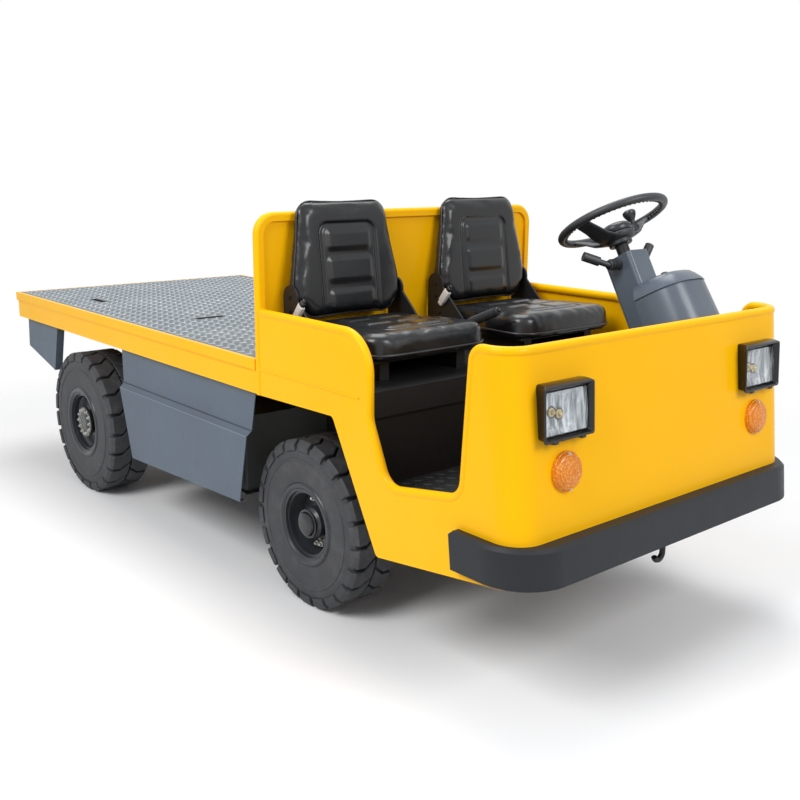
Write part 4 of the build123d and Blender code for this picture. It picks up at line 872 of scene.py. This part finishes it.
PANEL_CREASE = 0.0060
PAD_CORNER = 0.016
PAD_EDGE = 0.006
BACK_PANEL_MIDDLE = 0.12
SEAT_PANEL_MIDDLE = 0.750
# Sewn panels: half size each way, corner
back_panel = (0.107, 0.162, 0.030)
seat_panel = (0.158, 0.130, 0.035)
# Pads sewn into each panel: middle and half size, first along u, then along v
back_pads = [(0.0, 0.088, 0.050, 0.034), (0.0, 0.088, 0.144, 0.040), (0.0, 0.088, 0.234, 0.033)]
seat_pads = [(x, 0.041, y, 0.050) for x in (0.655, 0.750, 0.845) for y in (-0.058, 0.058)]


def pad_rise(u, v, pads, height, run):
    """Height of the sewn pads at a point of their panel."""
    rise = 0.0
    for middle_u, half_u, middle_v, half_v in pads:
        reach = rounded_reach(u - middle_u, v - middle_v, half_u, half_v, PAD_CORNER)
        rise += height * soft_step(-reach, -PAD_EDGE, run)
    return rise


def back_relief(across, rise):
    """Depth of the backrest's sewn panel at a point of its face."""
    reach = rounded_reach(across, rise - BACK_PANEL_MIDDLE, *back_panel)
    crease = crease_line(reach, PANEL_CREASE, 0.0055) * soft_step(rise, 0.0, 0.03)
    return crease - pad_rise(across, rise, back_pads, 0.0050, 0.016)


def seat_relief(along, across):
    """Depth of the cushion's sewn panel at a point of its top."""
    reach = rounded_reach(along - SEAT_PANEL_MIDDLE, across, *seat_panel)
    return crease_line(reach, PANEL_CREASE, 0.006) - pad_rise(along, across, seat_pads, 0.0055, 0.014)


def outline_loop(mesh, centre, first, second, keep, count=120):
    """Closed loop of the farthest points round a centre, in the plane of two directions."""
    reach = [0.0] * count
    for vertex in mesh.vertices:
        arm = vertex.co - centre
        if keep(arm):
            u, v = arm.dot(first), arm.dot(second)
            slot = int((math.atan2(v, u) / (2 * math.pi) % 1.0) * count) % count
            reach[slot] = max(reach[slot], math.hypot(u, v))
    reach = [(reach[n - 1] + 2 * reach[n] + reach[(n + 1) % count]) / 4 for n in range(count)]
    angles = [2 * math.pi * (n + 0.5) / count for n in range(count)]
    return [centre + first * r * math.cos(a) + second * r * math.sin(a) for r, a in zip(reach, angles)]


def drawn_out(cover, node, axes):
    """Stretch a cover along the given axes until it is as wide as the solid it stands for."""
    low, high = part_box(node)
    for axis in axes:
        places = [vertex.co[axis] for vertex in cover.vertices]
        middle = (min(places) + max(places)) / 2
        grow = (high[axis] - low[axis]) / (max(places) - min(places))
        for vertex in cover.vertices:
            vertex.co[axis] = (low[axis] + high[axis]) / 2 + (vertex.co[axis] - middle) * grow


cushion = air_filled("seat_cushion_right")
drawn_out(cushion, "seat_cushion_right", (0, 1))
for vertex, normal in zip(cushion.vertices, normals_of(cushion)):
    up = soft_step(normal.z, 0.5, 0.9)
    vertex.co.z -= up * seat_relief(vertex.co.x, vertex.co.y + SEAT_Y)
    vertex.co.z = max(vertex.co.z, PAN_TOP + 0.0005)
seat_middle = Vector((0.765, -SEAT_Y, PAN_TOP + 0.017))
seat_bead = outline_loop(cushion, seat_middle, Vector((1, 0, 0)), Vector((0, 1, 0)),
                         lambda arm: abs(arm.z) < 0.008)

backrest = air_filled("seat_backrest_right")
drawn_out(backrest, "seat_backrest_right", (1,))
back_foot = BACK_FOOT - Vector((0, SEAT_Y, 0))
for vertex, normal in zip(backrest.vertices, normals_of(backrest)):
    arm = vertex.co - back_foot
    out = soft_step(normal.dot(BACK_OUT), 0.5, 0.9)
    vertex.co -= BACK_OUT * out * back_relief(arm.y, arm.dot(BACK_UP))
    vertex.co += BACK_UP * (COVER_STRETCH * max(0.0, arm.dot(BACK_UP)))
back_middle = back_foot + BACK_UP * 0.18 - BACK_OUT * 0.016
back_bead = outline_loop(backrest, back_middle, Vector((0, 1, 0)), BACK_UP,
                         lambda arm: abs(arm.dot(BACK_OUT)) < 0.007)
SHELL_DEPTH = -0.019

# name, cover, piping's line and radius
seat_parts = [("seat_cushion", cushion, seat_bead, 0.0042), ("seat_backrest", backrest, back_bead, 0.0030)]
for hand, side in HANDS:
    across = shift(0, (side + 1) * SEAT_Y, 0)
    for label, form, bead, bead_radius in seat_parts:
        mesh = form.copy()
        mesh.transform(across)
        pad = piece(f"{label}_{hand}_cover", mesh, VINYL, stands_for=f"{label}_{hand}")
        for polygon in mesh.polygons:
            polygon.use_smooth = True
        if label == "seat_backrest":
            mesh.materials.append(SHELL)
            middle = across @ back_foot
            for polygon in mesh.polygons:
                if (polygon.center - middle).dot(BACK_OUT) < SHELL_DEPTH:
                    polygon.material_index = 1
        piping = bead_tube([across @ point for point in bead], bead_radius)
        piece(f"{label}_{hand}_piping", piping, PIPING)

# Recliner bolts, belt buckles
RECLINER_PLATE_Y = 0.213
# x, z
recliner_holes = [(0.536, 0.968), (0.536, 0.925), (0.560, 0.872)]
BUCKLE_X, BUCKLE_IN, BUCKLE_Z = 0.592, 0.221, 0.928
BUCKLE_LEAN = math.radians(38)
# size, rounding, place along the buckle
housing_blocks = [((0.027, 0.016, 0.052), 0.005, 0.004), ((0.021, 0.013, 0.018), 0.004, -0.026)]
plug_blocks = [((0.019, 0.012, 0.020), 0.003, 0.034), ((0.014, 0.006, 0.012), 0.002, 0.046)]
bolt_places, housing_meshes, plug_meshes = [], [], []
for side in (-1, 1):
    for plate in (-1, 1):
        y = side * SEAT_Y + plate * RECLINER_PLATE_Y
        bolt_places += [shift(x, y, z) @ spun(-plate * math.pi / 2, "X") for x, z in recliner_holes]
    buckle = shift(BUCKLE_X, side * SEAT_Y - BUCKLE_IN, BUCKLE_Z) @ spun(BUCKLE_LEAN, "Y")
    for extent, rounding, up in housing_blocks:
        housing_meshes.append(block(extent, rounding, buckle @ shift(0, 0, up), 3))
    for extent, rounding, up in plug_blocks:
        plug_meshes.append(block(extent, rounding, buckle @ shift(0, 0, up)))
repeated("recliner_bolts", fastener(0.006, 0.005, 0.001), bolt_places, BLACK)
piece("buckle_housings", joined(housing_meshes), BUCKLE, stands_for="seat_buckles")
piece("buckle_plugs", joined(plug_meshes), BUTTON)


# Lamps

PANEL_SLOPE = 0.1116
PANEL_FOOT_X, PANEL_FOOT_Z = 1.599, 0.390
HEADLAMP_Y, HEADLAMP_Z = 0.428, 0.798
HEADLAMP_SHIFT = -0.004
TURN_LAMP_Y, TURN_LAMP_Z = 0.424, 0.650


def lamp_frame(y, z):
    """Frame on the raked front panel: X to the left, Y up, Z out of the panel."""
    rake = math.atan(PANEL_SLOPE)
    out = Vector((math.cos(rake), 0, math.sin(rake)))
    left = Vector((0, 1, 0))
    turn = Matrix((left, out.cross(left), out)).transposed().to_4x4()
    return shift(PANEL_FOOT_X - PANEL_SLOPE * (z - PANEL_FOOT_Z), y, z) @ turn


# width, height, corner, distance out of the panel, forward lean of the top, lift
hood_sections = [
    (0.164, 0.134, 0.008, 0.0000, 0.000, 0.0070), (0.166, 0.135, 0.008, 0.0120, 0.002, 0.0060),
    (0.171, 0.135, 0.008, 0.0210, 0.004, 0.0040), (0.178, 0.134, 0.007, 0.0270, 0.006, 0.0010),
    (0.181, 0.133, 0.006, 0.0285, 0.006, 0.0), (0.181, 0.133, 0.006, 0.0305, 0.006, 0.0),
    (0.178, 0.130, 0.006, 0.0320, 0.006, 0.0), (0.172, 0.124, 0.005, 0.0320, 0.006, 0.0),
    (0.169, 0.121, 0.005, 0.0300, 0.005, 0.0), (0.158, 0.110, 0.005, 0.0180, 0.002, 0.0),
    (0.154, 0.106, 0.005, 0.0050, 0.000, 0.0),
]
LENS_WINDOW = (0.152, 0.104)
LENS_FACE, LENS_BACK = 0.0215, 0.0170
FLUTE_DEPTH = 0.00018
FLUTE_COUNT = 11
BOWL_WINDOW = (0.150, 0.102)
BOWL_FLOOR, BOWL_BACK = 0.0062, 0.0052
BOWL_DEPTH = 0.0090
bulb_socket = [
    (0.0, 0.0), (0.0, 0.0150), (0.0026, 0.0150), (0.0032, 0.0142), (0.0028, 0.0112), (0.0012, 0.0105),
    (0.0012, 0.0),
]
bulb = [
    (0.0, 0.0), (0.0, 0.011), (0.003, 0.011), (0.004, 0.006), (0.009, 0.0062), (0.0115, 0.004), (0.0122, 0.0),
]
# Across and up from the lamp's middle
bulb_places = [(-0.042, 0.003), (-0.016, -0.004)]
foot_middles = [(-0.050, -0.068), (0.050, -0.068)]
FOOT_OUT = 0.020
TURN_SCREW_UP, TURN_SCREW_OUT = 0.0435, 0.0155
turn_dome = [
    (0.0, 0.0), (0.0, 0.050), (0.008, 0.050), (0.009, 0.047), (0.013, 0.0465), (0.0165, 0.044),
    (0.0185, 0.040), (0.0178, 0.0385), (0.0200, 0.037), (0.0210, 0.032), (0.0204, 0.0308), (0.0218, 0.029),
    (0.0226, 0.022), (0.0220, 0.021), (0.0230, 0.019), (0.0236, 0.011), (0.0230, 0.010), (0.0238, 0.008),
    (0.0240, 0.0),
]


def bowl_height(u, v):
    """Reflector bowl round the bulbs, which sit right of the lamp's middle."""
    near = ((u + 0.38) / 1.1) ** 2 + (v / 1.15) ** 2
    return BOWL_FLOOR + BOWL_DEPTH * min(1.0, near)


def lens_height(u, v):
    """Lens face, fluted over its right half."""
    flute = FLUTE_DEPTH * math.cos(u * FLUTE_COUNT * math.pi) * soft_step(u, -0.2, 0.3)
    return LENS_FACE + flute - 0.0022 * v * v - 0.0012 * u * u


hood_meshes, lens_meshes, bowl_meshes = [], [], []
bulb_meshes, socket_meshes, dome_meshes = [], [], []
foot_places, screw_places = [], []
hood_loops = [rounded_loop(*section) for section in hood_sections]
for side in (-1, 1):
    lamp = lamp_frame(side * HEADLAMP_Y + HEADLAMP_SHIFT, HEADLAMP_Z)
    hood_meshes.append(loft(hood_loops, lamp))
    lens_meshes.append(slab(LENS_WINDOW, (96, 12), lens_height, LENS_BACK, lamp))
    bowl_meshes.append(slab(BOWL_WINDOW, (36, 20), bowl_height, BOWL_BACK, lamp))
    for along, rise in bulb_places:
        seat = lamp @ shift(along, rise, BOWL_BACK) @ X_TO_Z
        bulb_meshes.append(lathe(bulb, 14, seat))
        socket_meshes.append(lathe(bulb_socket, 24, seat))
    foot_places += [lamp @ shift(along, rise, FOOT_OUT) for along, rise in foot_middles]
    turn_lamp = lamp_frame(side * TURN_LAMP_Y, TURN_LAMP_Z)
    dome_meshes.append(lathe(turn_dome, 48, turn_lamp @ X_TO_Z, 20))
    screw_places += [turn_lamp @ shift(0, up * TURN_SCREW_UP, TURN_SCREW_OUT) for up in (-1, 1)]
piece("headlamp_hoods", joined(hood_meshes), LAMP_BODY, stands_for="headlamp_housings")
piece("headlamp_lens_glass", joined(lens_meshes), CLEAR, stands_for="headlamp_lenses")
piece("headlamp_reflectors", joined(bowl_meshes), BOWL)
piece("headlamp_bulbs", joined(bulb_meshes), BULB)
piece("headlamp_sockets", joined(socket_meshes), LAMP_BODY)
repeated("headlamp_feet", block((0.016, 0.008, 0.020), 0.003), foot_places, LAMP_BODY)
piece("turn_lamp_domes", joined(dome_meshes), AMBER, stands_for="turn_lamps")
repeated("turn_lamp_screws", fastener(0.0035, 0.003, 0.0006), screw_places, ZINC)


# Tow hook: round bar that drops from the front beam and curls to the right

hook_low, hook_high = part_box("tow_hook")
HOOK_BAR = 0.0085
HOOK_BEND = 0.019
HOOK_STEM_Y = 0.019
HOOK_DROP = 0.012
HOOK_CURL = math.radians(-160)
STEM_STEPS, CURL_STEPS = 4, 16
hook_x = (hook_low.x + hook_high.x) / 2
hook_centre = hook_low.z + HOOK_BAR + HOOK_BEND - HOOK_DROP
stem_length = hook_high.z - hook_centre
hook_line = [Vector((hook_x, HOOK_STEM_Y, hook_high.z - stem_length * n / STEM_STEPS))
             for n in range(STEM_STEPS)]
for n in range(CURL_STEPS + 1):
    turn = HOOK_CURL * n / CURL_STEPS
    hook_line.append(Vector((hook_x, HOOK_STEM_Y - HOOK_BEND + HOOK_BEND * math.cos(turn),
                             hook_centre + HOOK_BEND * math.sin(turn))))
hook_mesh = bead_tube(hook_line, HOOK_BAR, closed=False)
piece("tow_hook_bar", hook_mesh, BLACK, stands_for="tow_hook")


# Steering wheel and controls

column_tilt = math.radians(29)
column_up = Vector((-math.sin(column_tilt), 0, math.cos(column_tilt)))
column_right = Vector((0, -1, 0))
column_turn = Matrix((column_right, column_up.cross(column_right), column_up)).transposed()
STEERING = shift(1.121, 0.285, 1.200) @ column_turn.to_4x4()
COLUMN_AXIS = STEERING @ X_TO_Z
RIM_TUBE = 0.012
RIM_RADIUS = 0.162
GRIP_COUNT = 60
GRIP_SIZE = (0.0075, 0.0055, 0.0055)
GRIP_IN, GRIP_DOWN = 0.0095, 0.0062
grip_bump = bmesh.new()
bmesh.ops.create_icosphere(grip_bump, subdivisions=1, radius=1.0)
grip_mesh = mesh_of(grip_bump, "grip", crease=80)
grip_seat = shift(RIM_RADIUS - GRIP_IN, 0, -GRIP_DOWN) @ Matrix.Diagonal((*GRIP_SIZE, 1))
grip_places = [STEERING @ spun(2 * math.pi * n / GRIP_COUNT, "Z") @ grip_seat for n in range(GRIP_COUNT)]
repeated("steering_finger_grips", grip_mesh, grip_places, CONTROL, "steering_wheel")


def squared(value, power):
    """Sine or cosine bent so that its oval is squarer."""
    return math.copysign(abs(value) ** power, value)


BIN_BACK = 0.052
BIN_FLAT = 0.008
BIN_SQUARENESS = 0.72
BIN_STEPS = 36


def bin_loop(half_width, depth, height):
    """Plan of the dash bin at a height: flat against the shroud, round in front."""
    points = [Vector((half_width, BIN_BACK, height)), Vector((-half_width, BIN_BACK, height))]
    for n in range(BIN_STEPS + 1):
        turn = math.pi * (1 - n / BIN_STEPS)
        across = squared(math.cos(turn), BIN_SQUARENESS)
        out = squared(math.sin(turn), BIN_SQUARENESS)
        points.append(Vector((half_width * across, BIN_BACK + BIN_FLAT + (depth - BIN_FLAT) * out, height)))
    return points


# half width, depth, height down the column
bin_sections = [
    (0.116, 0.150, -0.430), (0.111, 0.142, -0.300), (0.110, 0.141, -0.2815), (0.107, 0.138, -0.280),
    (0.107, 0.138, -0.2785), (0.1115, 0.143, -0.277), (0.108, 0.139, -0.268), (0.099, 0.126, -0.250),
    (0.091, 0.115, -0.238), (0.084, 0.106, -0.2335), (0.070, 0.090, -0.231),
]
dash_bin = loft([bin_loop(*section) for section in bin_sections], STEERING, 30)
piece("dash_bin", dash_bin, POD, stands_for="dash_pod")

SPOKE_TURNS = (0, 180, 270)
# reach, height, half width, half thickness
spoke_sections = [
    (0.020, -0.056, 0.040, 0.007), (0.050, -0.056, 0.037, 0.007), (0.080, -0.046, 0.032, 0.0065),
    (0.113, -0.024, 0.027, 0.006), (0.147, -0.005, 0.025, 0.0055), (0.161, 0.000, 0.024, 0.005),
]


def spoke_loop(reach, height, half_width, half_thick, count=16):
    """Flat oval across a spoke."""
    turns = [2 * math.pi * n / count for n in range(count)]
    return [Vector((reach, half_width * squared(math.cos(turn), 0.6),
                    height + half_thick * squared(math.sin(turn), 0.8))) for turn in turns]


def ring_profile(radius, tube, count=20):
    turns = [2 * math.pi * n / count for n in range(count + 1)]
    return [(tube * math.sin(turn), radius + tube * math.cos(turn)) for turn in turns]


hub_boss = [
    (-0.080, 0.0), (-0.080, 0.034), (-0.078, 0.036), (-0.068, 0.036), (-0.066, 0.044), (-0.060, 0.050),
    (-0.050, 0.052), (-0.046, 0.050), (-0.046, 0.0),
]
horn_dome = [
    (-0.052, 0.0), (-0.052, 0.036), (-0.046, 0.038), (-0.042, 0.047), (-0.034, 0.0505), (-0.026, 0.049),
    (-0.018, 0.042), (-0.014, 0.033), (-0.0125, 0.020), (-0.012, 0.0),
]
spinner_knob = [
    (-0.008, 0.0), (-0.008, 0.015), (0.008, 0.015), (0.010, 0.0090), (0.026, 0.0090), (0.029, 0.011),
    (0.042, 0.0185), (0.050, 0.0210), (0.056, 0.0205), (0.060, 0.016), (0.061, 0.0),
]
KNOB_REACH = 0.096
KNOB_FOOT = -0.028
spoke_loops = [spoke_loop(*section) for section in spoke_sections]
wheel_meshes = [lathe(ring_profile(RIM_RADIUS, RIM_TUBE), 96, COLUMN_AXIS, 60),
                lathe(hub_boss, 40, COLUMN_AXIS)]
wheel_meshes += [loft(spoke_loops, STEERING @ spun(math.radians(turn), "Z"), 45) for turn in SPOKE_TURNS]
knob_mesh = lathe(spinner_knob, 28, STEERING @ shift(-KNOB_REACH, 0, KNOB_FOOT) @ X_TO_Z)
piece("steering_rim_and_spokes", joined(wheel_meshes), CONTROL, "steering_wheel",
      "steering_wheel")
piece("horn_pad", lathe(horn_dome, 44, COLUMN_AXIS), HORN, "steering_wheel")
piece("spinner_knob", knob_mesh, HORN, "steering_wheel")


def ridge(half_foot, half_crest, foot, crest, steps):
    """Raised ring about local X."""
    return lathe([(-half_foot, foot), (-half_crest, crest), (half_crest, crest), (half_foot, foot)], steps)


# Bellows of the direction lever
LEVER_ROOT = STEERING @ Vector((0, 0, -0.140))
BELLOWS_Y = 0.234
BELLOWS_PITCH = 0.0050
BELLOWS_TAPER = 0.02
BELLOWS_COUNT = 9
bellows_places = []
for n in range(BELLOWS_COUNT):
    shrink = 1 - BELLOWS_TAPER * n
    bellows_places.append(shift(LEVER_ROOT.x, BELLOWS_Y - BELLOWS_PITCH * n, LEVER_ROOT.z)
                          @ spun(math.pi / 2, "Z") @ Matrix.Diagonal((1, shrink, shrink, 1)))
bellows_fold = ridge(0.0022, 0.0008, 0.0135, 0.0178, 20)
repeated("lever_bellows", bellows_fold, bellows_places, CONTROL)

# Grip and button of the parking brake
BRAKE_TIP = Vector((0.920, 0, 0.924))
RIB_START = 0.016
RIB_PITCH = 0.0085
RIB_COUNT = 13
brake_line = Vector((0.240, 0, 0.099)).normalized()
brake_end = Matrix.Translation(BRAKE_TIP) @ brake_line.to_track_quat("X", "Z").to_matrix().to_4x4()
rib_places = [brake_end @ shift(-RIB_START - RIB_PITCH * n, 0, 0) for n in range(RIB_COUNT)]
grip_rib = ridge(0.0022, 0.001, 0.0136, 0.0153, 16)
repeated("brake_grip_ribs", grip_rib, rib_places, CONTROL)
brake_button = [
    (-0.002, 0.0125), (0.003, 0.0125), (0.005, 0.0105), (0.005, 0.006), (0.012, 0.0058), (0.014, 0.004),
    (0.014, 0.0),
]
piece("brake_button", lathe(brake_button, 20, brake_end), BUTTON)

# Switch on the dash bin: size, rounding, height
switch_place = STEERING @ shift(-0.010, 0.100, -0.2315)
switch_blocks = [((0.046, 0.026, 0.010), 0.004, 0.004), ((0.020, 0.014, 0.010), 0.003, 0.011)]
switch_meshes = [block(extent, rounding, switch_place @ shift(0, 0, up))
                 for extent, rounding, up in switch_blocks]
piece("dash_switch", joined(switch_meshes), BUTTON)


# Camera at the photograph's place

CAMERA_PLACE = (3.0494, -2.2092, 1.3705)
CAMERA_YAW = 2.436
CAMERA_PITCH = 0.2353
CAMERA_ROLL = -0.0075
FOCAL_PIXELS = 990.0
FRAME_PIXELS = 800.0
SENSOR = 36.0
FLOOR_REACH = 30.0
FLOOR_FADE = (1.8, 3.4)


def set_camera():
    data = bpy.data.cameras.new("camera")
    data.sensor_width = SENSOR
    data.lens = FOCAL_PIXELS / FRAME_PIXELS * SENSOR
    camera = bpy.data.objects.new("camera", data)
    bpy.context.scene.collection.objects.link(camera)
    ahead = Vector((math.cos(CAMERA_YAW) * math.cos(CAMERA_PITCH),
                    math.sin(CAMERA_YAW) * math.cos(CAMERA_PITCH), -math.sin(CAMERA_PITCH)))
    right = Vector((math.sin(CAMERA_YAW), -math.cos(CAMERA_YAW), 0))
    down = ahead.cross(right)
    right, down = (right * math.cos(CAMERA_ROLL) + down * math.sin(CAMERA_ROLL),
                   down * math.cos(CAMERA_ROLL) - right * math.sin(CAMERA_ROLL))
    turn = Matrix((right, -down, -ahead)).transposed()
    camera.matrix_world = Matrix.Translation(CAMERA_PLACE) @ turn.to_4x4()
    bpy.context.scene.camera = camera


def set_light():
    """Pale floor, white surround for the camera, soft lamps."""
    world = bpy.data.worlds.new("studio")
    bpy.context.scene.world = world
    world.use_nodes = True
    sky = Graph(world.node_tree)
    sky.tree.nodes.clear()
    seen = [sky.make("ShaderNodeLightPath", out=ray)
            for ray in ("Is Camera Ray", "Is Glossy Ray", "Is Transmission Ray")]
    colour = sky.make("ShaderNodeMix", {"data_type": "RGBA"},
                      {0: seen[0] + seen[1] + seen[2], 6: (0.40, 0.41, 0.43, 1), 7: (1, 1, 1, 1)}, out=2)
    background = sky.make("ShaderNodeBackground", {}, {"Color": colour})
    sky.make("ShaderNodeOutputWorld", {}, {"Surface": background})
    # name, place, aim, size, watts
    lamps = [
        ("key_lamp", (1.2, -4.4, 4.4), (0, 0, 0.6), 2.6, 215),
        ("front_lamp", (5.2, 0.4, 3.4), (0.8, 0, 0.6), 2.2, 118),
        ("top_lamp", (-0.6, 0.9, 5.2), (0, 0, 0.5), 3.0, 130),
    ]
    for name, place, aim, size, watts in lamps:
        data = bpy.data.lights.new(name, "AREA")
        data.size = size
        data.energy = watts
        lamp = bpy.data.objects.new(name, data)
        lamp.location = place
        lamp.rotation_euler = (Vector(aim) - Vector(place)).to_track_quat("-Z", "Y").to_euler()
        bpy.context.scene.collection.objects.link(lamp)
    floor_mesh = bpy.data.meshes.new("floor")
    reach = FLOOR_REACH
    floor_mesh.from_pydata([(-reach, -reach, 0), (reach, -reach, 0), (reach, reach, 0), (-reach, reach, 0)],
                           [], [(0, 1, 2, 3)])
    paint = Finish("pale_floor")
    away = paint.make("ShaderNodeVectorMath", {"operation": "LENGTH"}, {0: paint.place}, out="Value")
    floor_mesh.materials.append(paint.close(
        Base_Color=paint.blend(paint.noise(1.5) * 0.2, (0.93, 0.93, 0.93, 1), (0.9, 0.9, 0.9, 1)),
        Roughness=0.9,
        Specular_IOR_Level=0.0,
        Alpha=1.0 - away.step(*FLOOR_FADE),
    ))
    floor = bpy.data.objects.new("floor", floor_mesh)
    bpy.context.scene.collection.objects.link(floor)


set_camera()
set_light()
bpy.context.scene.view_settings.view_transform = "Standard"
